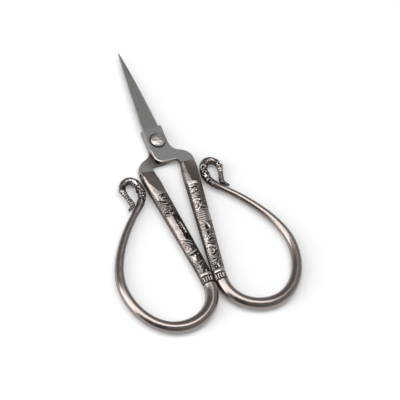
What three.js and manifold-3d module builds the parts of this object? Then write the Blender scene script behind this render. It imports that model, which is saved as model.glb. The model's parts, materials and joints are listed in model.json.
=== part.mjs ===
// Embroidery scissors with teardrop bows, closed and lying flat.
// Millimetres. X runs across, Y towards the points, Z up. Each half is drawn about the pivot axis.
import * as THREE from 'three';
import { mergeVertices } from 'three/addons/utils/BufferGeometryUtils.js';
import Module from 'manifold-3d';

const wasm = await Module();
wasm.setup();

// Blade, from the pivot axis
const BLADE_REACH = 39.5; // pivot to the point
const BLADE_THICKNESS = 1.8; // tang and shoulder
const POINT_THICKNESS = 0.6;
const POINT_WIDTH = 0.3;
const EDGE_THICKNESS = 0.3; // left at the cutting edge
const BEVEL_WIDTH = 1.1; // ground bevel at the choil, narrowing to the point
const SPINE_OFFSET = 3.9; // spine side of the tang
const SPINE_BELLY = 0.45; // how far the spine bows out from a straight line
const EDGE_OFFSET = 3.35; // cutting edge at the choil
const EDGE_BELLY = 0.35;
const CHOIL_RISE = 5.9; // choil above the pivot
const CHOIL_STEP = 0.35;
const MATING_GAP = 0.2; // between the inner faces of the two blades

// Tang and shoulder, from the pivot axis
const TANG_DROP = 8.8; // lower edge of the tang
const TANG_CORNER = 4.0; // rounding of the tang's free corner
const WAIST_DROP = 1.0; // where the tang starts to widen to the shoulder
const SHOULDER_DROP = 5.5; // where the hollow above the shoulder turns into its bulge
const SHOULDER_OFFSET = 6.6;
const SHOULDER_FULLNESS = 0.75; // how far the bulge fills its corner, and the hollow its own
const SHANK_DROP = 10.9; // shoulder's foot, where the shank starts
const SHOULDER_REACH = 10.85; // outer side of the shoulder's foot from the middle of the scissors
const CROTCH_ROUNDING = 1.3; // between the tang's lower edge and the shank

// Shank
const SHANK_OFFSET = 8.4; // centre of the shank's top from the middle of the scissors
const SHANK_TOP_WIDTH = 6.3;
const SHANK_TOP_HEIGHT = 5.4;
const SHANK_FOOT_WIDTH = 4.75;
const SHANK_FOOT_HEIGHT = 4.75;
const SHANK_LENGTH = 48.6; // along Y
const SHANK_BEND = 3.3; // the foot's bend starts and ends this far from the corner of its lines
const STOP_GAP = 0.3; // between the two shanks when closed
const FACET_LENGTH = 8.7; // flats ground from the shoulder onto the shank
const FACET_CREST = 0.15; // depth of the flats where they run out
const SEAM_GAP = 0.2; // between the shank and the pieces at its ends

// Bow
const BOW_DEPTH = 13.1; // shank's foot down to the lowest point of the bow's mid-line
const BOW_BOTTOM_OFFSET = 17.2;
const BOW_REACH = 34.45; // widest point of the mid-line from the middle of the scissors
const BOW_REACH_RISE = 7.1; // that point above the shank's foot
const BOW_NECK_DIAMETER = 2.55;
const BOW_NECK_ANGLE = 138; // degrees from +X
const BOW_HEEL_PULL = [8.4, 7.0]; // lengths of the curve's handles
const BOW_ROUND_PULL = [10.0, 10.9];
const BOW_SIDE_PULL = [9.1, 10.5];

// Curl at the free end of the bow
const CURL_DROP = 6.3; // its inner side below the top of the shank
const CURL_CLEARANCE = 0.7; // to the side of the shank
const CURL_DIAMETER = 3.4;
const CURL_WIDTH = 6.6; // between the mid-lines of its two sides
const CURL_RISE = 5.0; // its crown above its inner side
const CURL_CROWN_DIAMETER = 2.9;
const CURL_BEAK_DIAMETER = 2.1;
const CURL_TIP_DIAMETER = 0.7;
const CURL_NECK = [5.15, -7.8]; // end of the bow from the curl's inner side
const CURL_CHEEK_RISE = 2.0; // its outer side above its inner side
const CURL_BEAK = [-1.2, -5.8]; // lower beak from the outer side
const CURL_TIP = [2.4, -2.5]; // tip from the lower beak
const CURL_TIP_SLOPE = -0.35; // fall of the tip towards the outside
const CURL_ROUNDNESS = 0.55; // pull of its crown's curves, about that of a circle

// Pivot rivet
const RIVET_DIAMETER = 3.0;
const RIVET_HEAD_DIAMETER = 5.5;
const RIVET_HEAD_HEIGHT = 1.15;
const RIVET_HEAD_WALL = 0.45; // upright part of the head
const RIVET_TAIL_DIAMETER = 4.4; // spread flush into the back blade
const RIVET_TAIL_DEPTH = 0.8;
const RIVET_CLEARANCE = 0.1;

// Fineness
const ROD_SIDES = 14;
const BOW_STEPS = 54;
const CURL_STEPS = 40;
const SHANK_STEPS = 16;
const BLADE_STEPS = 14;
const ROUND_SEGMENTS = 32;
const DOME_STEPS = 6;
const WELD = 1e-5; // points closer than this are one point

const innerFace = MATING_GAP / 2;
const outerFace = innerFace + BLADE_THICKNESS;
const shankTop = new THREE.Vector2(SHANK_OFFSET, -SHANK_DROP);
const shankFoot = new THREE.Vector2((SHANK_FOOT_WIDTH + STOP_GAP) / 2, -SHANK_DROP - SHANK_LENGTH);
const flat = (v) => new THREE.Vector3(v.x, v.y, 0);
const lerp = THREE.MathUtils.lerp;

// Solids

function solid(geometry) {
  const bare = geometry.clone();
  bare.deleteAttribute('normal');
  bare.deleteAttribute('uv');
  const merged = mergeVertices(bare, WELD);
  return new wasm.Manifold(new wasm.Mesh({
    numProp: 3,
    vertProperties: new Float32Array(merged.attributes.position.array),
    triVerts: new Uint32Array(merged.index.array),
  }));
}

function meshed(manifold) {
  const mesh = manifold.getMesh();
  const geometry = new THREE.BufferGeometry();
  geometry.setAttribute('position', new THREE.BufferAttribute(mesh.vertProperties, 3));
  geometry.setIndex(new THREE.BufferAttribute(mesh.triVerts, 1));
  return geometry;
}

// Closed skin over rings of points, each ring with as many points as the first
function loft(rings) {
  const sides = rings[0].length;
  const positions = rings.flat().flatMap((p) => [p.x, p.y, p.z]);
  const index = [];
  for (let i = 0; i + 1 < rings.length; i++) {
    for (let k = 0; k < sides; k++) {
      const a = i * sides + k;
      const b = i * sides + (k + 1) % sides;
      index.push(a, b, b + sides, a, b + sides, a + sides);
    }
  }
  const last = (rings.length - 1) * sides;
  for (let k = 1; k + 1 < sides; k++) {
    index.push(0, k + 1, k, last, last + k, last + k + 1);
  }
  const geometry = new THREE.BufferGeometry();
  geometry.setAttribute('position', new THREE.Float32BufferAttribute(positions, 3));
  geometry.setIndex(index);
  return geometry;
}

// Bar with an oval section along a curve that lies in the XY plane
function bar(path, steps, widthAt, heightAt) {
  const rings = [];
  for (let i = 0; i <= steps; i++) {
    const t = i / steps;
    const centre = path.getPointAt(t);
    const along = path.getTangentAt(t);
    const across = new THREE.Vector3(-along.y, along.x, 0);
    const ring = [];
    for (let k = 0; k < ROD_SIDES; k++) {
      const angle = (2 * Math.PI * k) / ROD_SIDES;
      const point = centre.clone().addScaledVector(across, (Math.cos(angle) * widthAt(t)) / 2);
      point.z += (Math.sin(angle) * heightAt(t)) / 2;
      ring.push(point);
    }
    rings.push(ring);
  }
  return loft(rings);
}

// Blade

// A curve from the spine or the edge at the tang to the point, bowed out sideways at its middle
function bladeSide(x, y, belly) {
  const from = new THREE.Vector2(x, y);
  const to = new THREE.Vector2((Math.sign(x) * POINT_WIDTH) / 2, BLADE_REACH);
  const middle = from.clone().add(to).multiplyScalar(0.5);
  middle.x += 2 * Math.sign(x) * belly;
  return new THREE.QuadraticBezierCurve(from, middle, to);
}

function bladeBlank() {
  const root = CHOIL_RISE - CHOIL_STEP; // reaches into the tang
  const spine = bladeSide(-SPINE_OFFSET, 0, SPINE_BELLY);
  const edge = bladeSide(EDGE_OFFSET, root, EDGE_BELLY);
  const rings = [];
  for (let i = 0; i <= BLADE_STEPS; i++) {
    const t = i / BLADE_STEPS;
    const y = lerp(root, BLADE_REACH, t);
    const spineX = spine.getPoint(y / BLADE_REACH).x;
    const edgeX = edge.getPoint(t).x;
    const face = innerFace + lerp(BLADE_THICKNESS, POINT_THICKNESS, t);
    const bevel = Math.min(BEVEL_WIDTH, (edgeX - spineX) / 2);
    rings.push([
      new THREE.Vector3(spineX, y, innerFace),
      new THREE.Vector3(spineX, y, face),
      new THREE.Vector3(edgeX - bevel, y, face),
      new THREE.Vector3(edgeX, y, innerFace + EDGE_THICKNESS),
      new THREE.Vector3(edgeX, y, innerFace),
    ]);
  }
  return loft(rings);
}

// Tang with the pivot hole, widening to the shoulder that carries the shank
function tangBlank() {
  const side = EDGE_OFFSET + CHOIL_STEP;
  const seat = -SHANK_DROP + SEAM_GAP;
  const inner = SHANK_OFFSET - SHANK_TOP_WIDTH / 2;
  const bulge = lerp(SHANK_DROP, SHOULDER_DROP, SHOULDER_FULLNESS);
  const hollow = lerp(WAIST_DROP, SHOULDER_DROP, SHOULDER_FULLNESS);
  const spineAtChoil = bladeSide(-SPINE_OFFSET, 0, SPINE_BELLY).getPoint(CHOIL_RISE / BLADE_REACH).x;
  const tang = new THREE.Shape();
  tang.moveTo(spineAtChoil, CHOIL_RISE);
  tang.lineTo(-SPINE_OFFSET, 0);
  tang.lineTo(-SPINE_OFFSET, TANG_CORNER - TANG_DROP);
  tang.quadraticCurveTo(-SPINE_OFFSET, -TANG_DROP, TANG_CORNER - SPINE_OFFSET, -TANG_DROP);
  tang.lineTo(inner - CROTCH_ROUNDING, -TANG_DROP);
  tang.quadraticCurveTo(inner, -TANG_DROP, inner, seat);
  tang.lineTo(SHOULDER_REACH, seat);
  tang.quadraticCurveTo(SHOULDER_REACH, -bulge, SHOULDER_OFFSET, -SHOULDER_DROP);
  tang.quadraticCurveTo(side, -hollow, side, -WAIST_DROP);
  tang.lineTo(side, CHOIL_RISE);
  const geometry = new THREE.ExtrudeGeometry(tang, { depth: BLADE_THICKNESS, bevelEnabled: false });
  return geometry.translate(0, 0, innerFace);
}

// Cylinder or cone about the pivot axis between two heights
function pivotCut(bottomRadius, topRadius, bottom, top) {
  const geometry = new THREE.CylinderGeometry(topRadius, bottomRadius, top - bottom, ROUND_SEGMENTS);
  return geometry.rotateX(Math.PI / 2).translate(0, 0, (bottom + top) / 2);
}

function bladeBody(countersunk) {
  const hole = RIVET_DIAMETER / 2 + RIVET_CLEARANCE;
  let body = solid(tangBlank()).add(solid(bladeBlank()));
  body = body.subtract(solid(pivotCut(hole, hole, 0, outerFace + MATING_GAP)));
  if (countersunk) {
    const mouth = RIVET_TAIL_DIAMETER / 2 + RIVET_CLEARANCE;
    const floor = outerFace - RIVET_TAIL_DEPTH - RIVET_CLEARANCE;
    body = body.subtract(solid(pivotCut(hole, mouth, floor, outerFace)));
  }
  return meshed(body);
}

// Shank

const shankCorner = new THREE.Vector2(shankFoot.x, shankFoot.y + SHANK_BEND);
const shankLean = shankCorner.clone().sub(shankTop).normalize();

function shankPath() {
  const start = shankTop.clone().addScaledVector(shankLean, -SHANK_TOP_WIDTH / 2); // cut level later
  const bendStart = shankCorner.clone().addScaledVector(shankLean, -SHANK_BEND);
  const path = new THREE.CurvePath();
  path.add(new THREE.LineCurve3(flat(start), flat(bendStart)));
  path.add(new THREE.QuadraticBezierCurve3(flat(bendStart), flat(shankCorner), flat(shankFoot)));
  return path;
}

// Longer than any cut through the top of the shank
const cutReach = SHANK_TOP_WIDTH + SHANK_TOP_HEIGHT;

// Block over the shoulder, which leaves the shank's top level under its seat
function topCut() {
  const geometry = new THREE.BoxGeometry(2 * cutReach, cutReach, 2 * cutReach);
  return geometry.translate(SHANK_OFFSET, cutReach / 2 - SHANK_DROP, 0);
}

// Wedge over one face of the shank, from its height at the shoulder to where the flat runs out
function facetWedge(heightAtTop, heightAtEnd) {
  const top = -SHANK_DROP + cutReach;
  const end = -SHANK_DROP - FACET_LENGTH;
  const slope = (heightAtTop - heightAtEnd) / FACET_LENGTH;
  const side = Math.sign(heightAtEnd);
  const wedge = new THREE.Shape();
  wedge.moveTo(top, heightAtTop + slope * cutReach);
  wedge.lineTo(end, heightAtEnd);
  wedge.lineTo(end, side * cutReach * 2);
  wedge.lineTo(top, side * cutReach * 2);
  const geometry = new THREE.ExtrudeGeometry(wedge, { depth: 2 * cutReach, bevelEnabled: false });
  geometry.rotateX(Math.PI / 2).rotateZ(Math.PI / 2);
  return geometry.translate(SHANK_OFFSET - cutReach, 0, 0);
}

function shankBody() {
  const widthAt = (t) => lerp(SHANK_TOP_WIDTH, SHANK_FOOT_WIDTH, t);
  const heightAt = (t) => lerp(SHANK_TOP_HEIGHT, SHANK_FOOT_HEIGHT, t);
  const crest = heightAt(FACET_LENGTH / SHANK_LENGTH) / 2 - FACET_CREST;
  let body = solid(bar(shankPath(), SHANK_STEPS, widthAt, heightAt));
  body = body.subtract(solid(topCut()));
  body = body.subtract(solid(facetWedge(outerFace, crest)));
  body = body.subtract(solid(facetWedge(innerFace, -crest)));
  return meshed(body);
}

// Bow and curl

// Inner side of the curl, beside the shank
function curlSide() {
  const y = -SHANK_DROP - CURL_DROP;
  const shankCentre = shankTop.x + (shankLean.x / shankLean.y) * (y - shankTop.y);
  const shankSide = shankCentre + SHANK_TOP_WIDTH / 2;
  return new THREE.Vector2(shankSide + CURL_CLEARANCE + CURL_DIAMETER / 2, y);
}

const offset = (v, [dx, dy]) => new THREE.Vector2(v.x + dx, v.y + dy);
const bowNeck = offset(curlSide(), CURL_NECK);
const neckAngle = THREE.MathUtils.degToRad(BOW_NECK_ANGLE);
const neckAlong = new THREE.Vector2(Math.cos(neckAngle), Math.sin(neckAngle));

// Cubic curve between two places, leaving and arriving along given directions
function sweep(from, leaving, pullFrom, to, arriving, pullTo) {
  const near = from.clone().addScaledVector(leaving, pullFrom);
  const far = to.clone().addScaledVector(arriving, -pullTo);
  return new THREE.CubicBezierCurve3(flat(from), flat(near), flat(far), flat(to));
}

const up = new THREE.Vector2(0, 1);
const down = new THREE.Vector2(0, -1);
const out = new THREE.Vector2(1, 0);

function bowBody() {
  const start = offset(shankFoot, [0, -SEAM_GAP]);
  const bottom = new THREE.Vector2(BOW_BOTTOM_OFFSET, shankFoot.y - BOW_DEPTH);
  const widest = new THREE.Vector2(BOW_REACH, shankFoot.y + BOW_REACH_RISE);
  const heel = sweep(start, down, BOW_HEEL_PULL[0], bottom, out, BOW_HEEL_PULL[1]);
  const round = sweep(bottom, out, BOW_ROUND_PULL[0], widest, up, BOW_ROUND_PULL[1]);
  const side = sweep(widest, up, BOW_SIDE_PULL[0], bowNeck, neckAlong, BOW_SIDE_PULL[1]);
  const path = new THREE.CurvePath();
  path.add(heel);
  path.add(round);
  path.add(side);
  const heelShare = heel.getLength() / path.getLength();
  const taper = (t) => Math.max(0, (t - heelShare) / (1 - heelShare));
  const diameterAt = (t) => lerp(SHANK_FOOT_WIDTH, BOW_NECK_DIAMETER, taper(t));
  return bar(path, BOW_STEPS, diameterAt, diameterAt);
}

function curlBody() {
  const start = bowNeck.clone().addScaledVector(neckAlong, SEAM_GAP);
  const side = curlSide();
  const crown = offset(side, [CURL_WIDTH / 2, CURL_RISE]);
  const cheek = offset(side, [CURL_WIDTH, CURL_CHEEK_RISE]);
  const beak = offset(cheek, CURL_BEAK);
  const tip = offset(beak, CURL_TIP);
  const fall = beak.clone().sub(cheek).normalize();
  const flick = new THREE.Vector2(1, CURL_TIP_SLOPE).normalize();
  const sideways = (CURL_WIDTH / 2) * CURL_ROUNDNESS;
  const rising = CURL_RISE * CURL_ROUNDNESS;
  const falling = (CURL_RISE - CURL_CHEEK_RISE) * CURL_ROUNDNESS;
  const third = (from, to) => from.distanceTo(to) / 3;
  const path = new THREE.CurvePath();
  path.add(sweep(start, neckAlong, third(start, side), side, up, third(start, side)));
  path.add(sweep(side, up, rising, crown, out, sideways));
  path.add(sweep(crown, out, sideways, cheek, down, falling));
  path.add(sweep(cheek, down, third(cheek, beak), beak, fall, third(cheek, beak)));
  path.add(sweep(beak, fall, third(beak, tip), tip, flick, third(beak, tip)));
  const diameters = [
    BOW_NECK_DIAMETER, CURL_DIAMETER, CURL_CROWN_DIAMETER,
    (CURL_CROWN_DIAMETER + CURL_BEAK_DIAMETER) / 2, CURL_BEAK_DIAMETER, CURL_TIP_DIAMETER,
  ];
  const ends = path.getCurveLengths().map((length) => length / path.getLength());
  const diameterAt = (t) => {
    const found = ends.findIndex((end) => t <= end);
    const i = found < 0 ? ends.length - 1 : found;
    const from = i > 0 ? ends[i - 1] : 0;
    return lerp(diameters[i], diameters[i + 1], (t - from) / (ends[i] - from));
  };
  return bar(path, CURL_STEPS, diameterAt, diameterAt);
}

// Pivot rivet, turned about Z

function rivetBody() {
  const radius = RIVET_DIAMETER / 2;
  const head = RIVET_HEAD_DIAMETER / 2;
  const seat = outerFace + MATING_GAP / 2;
  const dome = RIVET_HEAD_HEIGHT - RIVET_HEAD_WALL;
  const profile = [
    new THREE.Vector2(0, -outerFace),
    new THREE.Vector2(RIVET_TAIL_DIAMETER / 2, -outerFace),
    new THREE.Vector2(radius, RIVET_TAIL_DEPTH - outerFace),
    new THREE.Vector2(radius, seat),
    new THREE.Vector2(head, seat),
  ];
  for (let i = 0; i <= DOME_STEPS; i++) {
    const angle = (i / DOME_STEPS) * (Math.PI / 2);
    const height = seat + RIVET_HEAD_WALL + dome * Math.sin(angle);
    profile.push(new THREE.Vector2(i < DOME_STEPS ? head * Math.cos(angle) : 0, height));
  }
  return new THREE.LatheGeometry(profile, ROUND_SEGMENTS).rotateX(Math.PI / 2);
}

// Assembly

function piece(name, geometry, finish) {
  const material = new THREE.MeshStandardMaterial({ ...finish, metalness: 1 });
  const mesh = new THREE.Mesh(geometry, material);
  mesh.name = name;
  return mesh;
}

const groundSteel = { color: 0x7d7a76, roughness: 0.45 };
const reliefMetal = { color: 0x8a7f77, roughness: 0.35 };
const smoothMetal = { color: 0x8a7f77, roughness: 0.25 };
const polishedSteel = { color: 0xb5aca4, roughness: 0.3 };

function half(side, countersunk) {
  const group = new THREE.Group();
  group.add(piece(`${side}_blade`, bladeBody(countersunk), groundSteel));
  group.add(piece(`${side}_shank`, shankBody(), reliefMetal));
  group.add(piece(`${side}_bow`, bowBody(), smoothMetal));
  group.add(piece(`${side}_curl`, curlBody(), reliefMetal));
  return group;
}

const scissors = new THREE.Group();
const front = half('front', false);
const back = half('back', true);
back.rotation.y = Math.PI; // the same half turned over, so its handle is on the other side
scissors.add(front, back, piece('pivot_rivet', rivetBody(), polishedSteel));

// Origin at the middle of the footprint, on the surface that the scissors lie on
const extent = new THREE.Box3().setFromObject(scissors);
const centre = extent.getCenter(new THREE.Vector3());
scissors.position.set(-centre.x, -centre.y, -extent.min.z);

export default scissors;
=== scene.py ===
import json
import math

import bmesh
import bpy
import numpy as np
from mathutils import Matrix, Vector


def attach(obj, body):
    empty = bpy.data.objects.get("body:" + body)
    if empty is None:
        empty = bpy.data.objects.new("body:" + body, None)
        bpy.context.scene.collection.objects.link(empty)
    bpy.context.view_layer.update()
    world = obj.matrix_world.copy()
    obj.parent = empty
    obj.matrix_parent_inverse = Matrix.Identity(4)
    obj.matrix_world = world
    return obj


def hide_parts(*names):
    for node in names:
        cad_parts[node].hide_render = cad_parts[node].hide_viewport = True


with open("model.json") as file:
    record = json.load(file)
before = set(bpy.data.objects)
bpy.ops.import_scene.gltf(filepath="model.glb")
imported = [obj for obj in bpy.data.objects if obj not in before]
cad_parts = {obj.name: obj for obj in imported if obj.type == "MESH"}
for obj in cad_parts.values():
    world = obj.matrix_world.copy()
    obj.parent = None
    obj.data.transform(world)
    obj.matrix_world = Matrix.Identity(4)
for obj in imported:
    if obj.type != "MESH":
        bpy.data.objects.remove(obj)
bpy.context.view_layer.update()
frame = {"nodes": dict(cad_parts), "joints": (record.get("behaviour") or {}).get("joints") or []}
mm = 0.001
mergeDistance = 1e-7
cutDistance = 1e-8
farOff = 9.0  # millimetres, further than any relief reaches
pivot = Vector(frame["joints"][0]["pos_m"])  # everything below is drawn about this axis, in millimetres
print("frame loaded, pivot at", [round(v / mm, 3) for v in pivot])


# Small helpers

# Eased step, 0 at low and 1 at high
def smooth(low, high, value):
    t = np.clip((value - low) / (high - low), 0.0, 1.0)
    return t * t * (3.0 - 2.0 * t)


def mixed(a, b, share):
    return a + (b - a) * share


# Soft random patches from -1 to 1, joined up round the piece
def patchyNoise(shape, cells, seed):
    values = np.random.default_rng(seed).random((cells[0] + 2, cells[1]))
    rows = np.linspace(0.0, cells[0], shape[0])
    columns = np.linspace(0.0, cells[1], shape[1], endpoint=False)
    i, j = rows.astype(int), columns.astype(int)
    f, g = smooth(0, 1, rows - i)[:, None], smooth(0, 1, columns - j)[None, :]
    k = (j + 1) % cells[1]
    upper = mixed(values[i][:, j], values[i][:, k], g)
    lower = mixed(values[i + 1][:, j], values[i + 1][:, k], g)
    return mixed(upper, lower, f) * 2.0 - 1.0


def finishMesh(mesh, sharpAngle):
    bm = bmesh.new()
    bm.from_mesh(mesh)
    bmesh.ops.remove_doubles(bm, verts=bm.verts, dist=mergeDistance)
    bmesh.ops.recalc_face_normals(bm, faces=bm.faces)
    bm.to_mesh(mesh)
    bm.free()
    mesh.shade_smooth()
    mesh.set_sharp_from_angle(angle=math.radians(sharpAngle))
    mesh.update()


# Sets one half, drawn in millimetres about the pivot, down in the frame, and turns the back half over
def setDown(mesh, turnedOver):
    turn = Matrix.Rotation(math.pi, 4, "Y") if turnedOver else Matrix.Identity(4)
    mesh.transform(Matrix.Translation(pivot) @ turn @ Matrix.Scale(mm, 4))


def piece(name, mesh, materials, body, node):
    obj = bpy.data.objects.new(name, mesh)
    bpy.context.scene.collection.objects.link(obj)
    if len(mesh.materials) != len(materials):  # the trees and the blades bring their own
        mesh.materials.clear()
        for material in materials:
            mesh.materials.append(material)
    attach(obj, body)
    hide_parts(node)


# The same handle piece on both halves
def handlePair(label, makeMesh, sharpAngle):
    for half, turned in (("front", False), ("back", True)):
        mesh = makeMesh(half + label)
        mesh.name = half + label
        setDown(mesh, turned)
        finishMesh(mesh, sharpAngle)
        piece(half + label, mesh, [handleFinish], half + "_half", half + "_" + label.lower())


# Closed skin over a grid of points: rows along the piece, columns round it
def skin(name, points, attributes=None):
    rows, columns = points.shape[:2]
    ring = np.arange(columns)
    after = np.roll(ring, -1)
    quads = []
    for i in range(rows - 1):
        a, b = i * columns, (i + 1) * columns
        quads.append(np.stack([a + ring, a + after, b + after, b + ring], 1))
    vertices = np.concatenate([points.reshape(-1, 3), points[:1].mean(1), points[-1:].mean(1)])
    first, last = rows * columns, rows * columns + 1
    faces = np.concatenate(quads).tolist()
    faces += [[first, int(k), int(j)] for j, k in zip(ring, after)]
    top = (rows - 1) * columns
    faces += [[last, int(top + j), int(top + k)] for j, k in zip(ring, after)]
    mesh = bpy.data.meshes.new(name)
    mesh.from_pydata(vertices.tolist(), [], faces)
    for key, values in (attributes or {}).items():  # 0 at the two end points
        layer = mesh.attributes.new(key, "FLOAT", "POINT")
        layer.data.foreach_set("value", np.concatenate([values.ravel(), [0.0, 0.0]]).astype(np.float32))
    return mesh


# Cubic curves in the plane of the scissors
def cubic(p0, p1, p2, p3, steps):
    t = np.linspace(0.0, 1.0, steps)[:, None]
    s = 1.0 - t
    return s**3 * p0 + 3 * s * s * t * p1 + 3 * s * t * t * p2 + t**3 * p3


def sweepPoints(start, leaving, pullStart, end, arriving, pullEnd, steps=80):
    start, leaving, end, arriving = (np.array(v, float) for v in (start, leaving, end, arriving))
    return cubic(start, start + leaving * pullStart, end - arriving * pullEnd, end, steps)


# Adds nodes to a tree; an input is a plain value or another node's output
def nodeAdder(tree):
    def add(kind, inputs=None, **settings):
        node = tree.nodes.new(kind)
        for key, value in settings.items():
            setattr(node, key, value)
        for key, value in (inputs or {}).items():
            if isinstance(value, bpy.types.NodeSocket):
                tree.links.new(value, node.inputs[key])
            else:
                node.inputs[key].default_value = value
        return node
    return add


def shaderAdder(owner):
    owner.use_nodes = True
    owner.node_tree.nodes.clear()
    return nodeAdder(owner.node_tree)


def worked(add, operation, *values):
    return add("ShaderNodeMath", dict(enumerate(values)), operation=operation).outputs[0]


def ranged(add, value, span, to=(0.0, 1.0), **settings):
    return add("ShaderNodeMapRange", {
        "Value": value, "From Min": span[0], "From Max": span[1], "To Min": to[0], "To Max": to[1],
    }, **settings).outputs["Result"]


# A geometry tree with its named inputs, and their identifiers
def geometryTree(name, inputs, output):
    tree = bpy.data.node_groups.new(name, "GeometryNodeTree")

    def socket(label, kind, direction):
        return tree.interface.new_socket(label, in_out=direction, socket_type="NodeSocket" + kind).identifier

    socket("Path", "Geometry", "INPUT")
    sockets = {label: socket(label, kind, "INPUT") for label, kind in inputs.items()}
    socket(output, "Geometry", "OUTPUT")
    return tree, sockets


# Runs a tree on a curve and keeps the result as a plain mesh
def meshFromTree(name, data, nodes, given):
    tree, sockets = nodes
    path = bpy.data.objects.new(name, data)
    bpy.context.scene.collection.objects.link(path)
    modifier = path.modifiers.new(name, "NODES")
    modifier.node_group = tree
    for label, value in given.items():
        modifier[sockets[label]] = value
    mesh = bpy.data.meshes.new_from_object(path.evaluated_get(bpy.context.evaluated_depsgraph_get()))
    path.modifiers.remove(modifier)
    bpy.data.objects.remove(path)
    return mesh


# Materials

noiseSpan = (0.3, 0.7)  # where most values of a noise lie


def colourMix(add, share, first, second):
    return add("ShaderNodeMix", {0: share, 6: first, 7: second}, data_type="RGBA").outputs[2]


def numberMix(add, share, first, second):
    return add("ShaderNodeMix", {0: share, 2: first, 3: second}, data_type="FLOAT").outputs[0]


def noise(add, where, scale, *, detail):
    return add("ShaderNodeTexNoise", {"Vector": where, "Scale": scale, "Detail": detail}).outputs["Fac"]


def attribute(add, name):
    return add("ShaderNodeAttribute", attribute_name=name).outputs["Fac"]


# The end of every metal: fine bump, shader and output
def metalSurface(add, colour, rough, height, strength, depth):
    bump = add("ShaderNodeBump", {"Height": height, "Strength": strength, "Distance": depth})
    shader = add("ShaderNodeBsdfPrincipled", {
        "Base Color": colour, "Roughness": rough, "Normal": bump.outputs["Normal"], "Metallic": 1.0})
    add("ShaderNodeOutputMaterial", {"Surface": shader.outputs["BSDF"]})


groundLook = {
    "light": (0.2608, 0.2551, 0.2438, 1.0),
    "dark": (0.2087, 0.2041, 0.1939, 1.0),
    "roughness": (0.40, 0.50),
    "paintedShade": (0.068, 0.0465, 0.034, 1.0),  # painted shade on the mating faces, beside the other tang
    "paintedShadeAt": (-2.4, -6.0, -0.1), "paintedShadeReach": (0.8, 7.6), "paintedShadeShare": 0.85, "paintedShadeThin": 6.0,
    # rim: painted highlight on the rim round the tang, below the rivet
    "rim": (0.7031, 0.6691, 0.635, 1.0), "rimHighlightRamp": (0.05, 0.6),
    "grindScale": 3600.0, "grindStretch": 0.04,  # lines of the grinding wheel
    "grindDepth": 0.000004, "grindStrength": 0.5, "cloudScale": 225.0, "cloudShare": 0.5,
}


def groundSteel():
    look = groundLook
    material = bpy.data.materials.new("groundSteel")
    add = shaderAdder(material)
    where = add("ShaderNodeTexCoord").outputs["Object"]
    along = add("ShaderNodeMapping", {"Vector": where, "Scale": (1.0, look["grindStretch"], 1.0)})
    lines = noise(add, along.outputs["Vector"], look["grindScale"], detail=3.0)
    share = numberMix(add, look["cloudShare"], lines, noise(add, where, look["cloudScale"], detail=4.0))
    colour = colourMix(add, share, look["dark"], look["light"])
    paintedShades, thin = [], look["paintedShadeThin"]
    for turn in (1.0, -1.0):  # painted shade on each half, the second turned over
        x, y, z = look["paintedShadeAt"]
        centre = pivot + Vector((x * turn, y, z * turn)) * mm
        offset = add("ShaderNodeMapping", {
            "Vector": where, "Location": (-centre.x, -centre.y, -thin * centre.z), "Scale": (1.0, 1.0, thin)})
        far = add("ShaderNodeVectorMath", {0: offset.outputs["Vector"]}, operation="LENGTH").outputs["Value"]
        reach = [edge * mm for edge in look["paintedShadeReach"]]
        paintedShades.append(ranged(add, far, reach, (look["paintedShadeShare"], 0.0), interpolation_type="SMOOTHSTEP"))
    colour = colourMix(add, worked(add, "MAXIMUM", *paintedShades), colour, look["paintedShade"])
    colour = colourMix(add, ranged(add, attribute(add, "land"), look["rimHighlightRamp"]), colour, look["rim"])
    rough = ranged(add, share, noiseSpan, look["roughness"])
    metalSurface(add, colour, rough, lines, look["grindStrength"], look["grindDepth"])
    return material


handleLook = {
    "bright": (0.3255, 0.2835, 0.262, 1.0),
    "worn": (0.2688, 0.2325, 0.2143, 1.0),
    "castBright": (0.4105, 0.3595, 0.3323, 1.0),  # shanks and curls, as cast
    "castWorn": (0.3198, 0.2778, 0.2563, 1.0),
    "shine": (0.6804, 0.6305, 0.5953, 1.0),  # crests of the relief, rubbed bright, with painted highlights
    "black": (0.0181, 0.0142, 0.0119, 1.0),  # patina in the recesses, and painted shade on sides and edges
    "flat": (0.161, 0.1338, 0.1213, 1.0),  # ground flats, darkened with painted shade
    "roughness": (0.19, 0.26),
    "castRoughness": (0.26, 0.36),
    "blackRoughness": 0.5,
    "flatRoughness": 0.3,
    "cloudScale": 420.0,
    "scratchScale": 2600.0,
    "scratchDepth": 0.000003, "scratchStrength": 0.5,
    "unevenPatina": (0.8, 1.3),
}


# One finish for the whole handle: smooth rod, cast relief with rubbed crests and painted highlights,
# blackened recesses with painted shade, and ground flats
def handleMetal():
    look = handleLook
    material = bpy.data.materials.new("handleMetal")
    add = shaderAdder(material)
    where = add("ShaderNodeTexCoord").outputs["Object"]
    recess, flat, cast, shine = (attribute(add, name) for name in ("recess", "flat", "cast", "shine"))
    cloud = noise(add, where, look["cloudScale"], detail=5.0)
    fine = noise(add, where, look["scratchScale"], detail=3.0)
    smoothMetal = colourMix(add, cloud, look["worn"], look["bright"])
    castMetal = colourMix(add, cloud, look["castWorn"], look["castBright"])
    castMetal = colourMix(add, shine, castMetal, look["shine"])
    metal = colourMix(add, flat, colourMix(add, cast, smoothMetal, castMetal), look["flat"])
    uneven = ranged(add, fine, noiseSpan, look["unevenPatina"])
    # patina, with painted shade
    patina = add("ShaderNodeMath", {0: uneven, 1: recess}, operation="MULTIPLY", use_clamp=True).outputs[0]
    smoothRough = ranged(add, cloud, noiseSpan, look["roughness"])
    castRough = ranged(add, cloud, noiseSpan, look["castRoughness"])
    polish = numberMix(add, flat, numberMix(add, cast, smoothRough, castRough), look["flatRoughness"])
    rough = numberMix(add, patina, polish, look["blackRoughness"])
    colour = colourMix(add, patina, metal, look["black"])
    metalSurface(add, colour, rough, fine, look["scratchStrength"], look["scratchDepth"])
    return material


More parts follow.
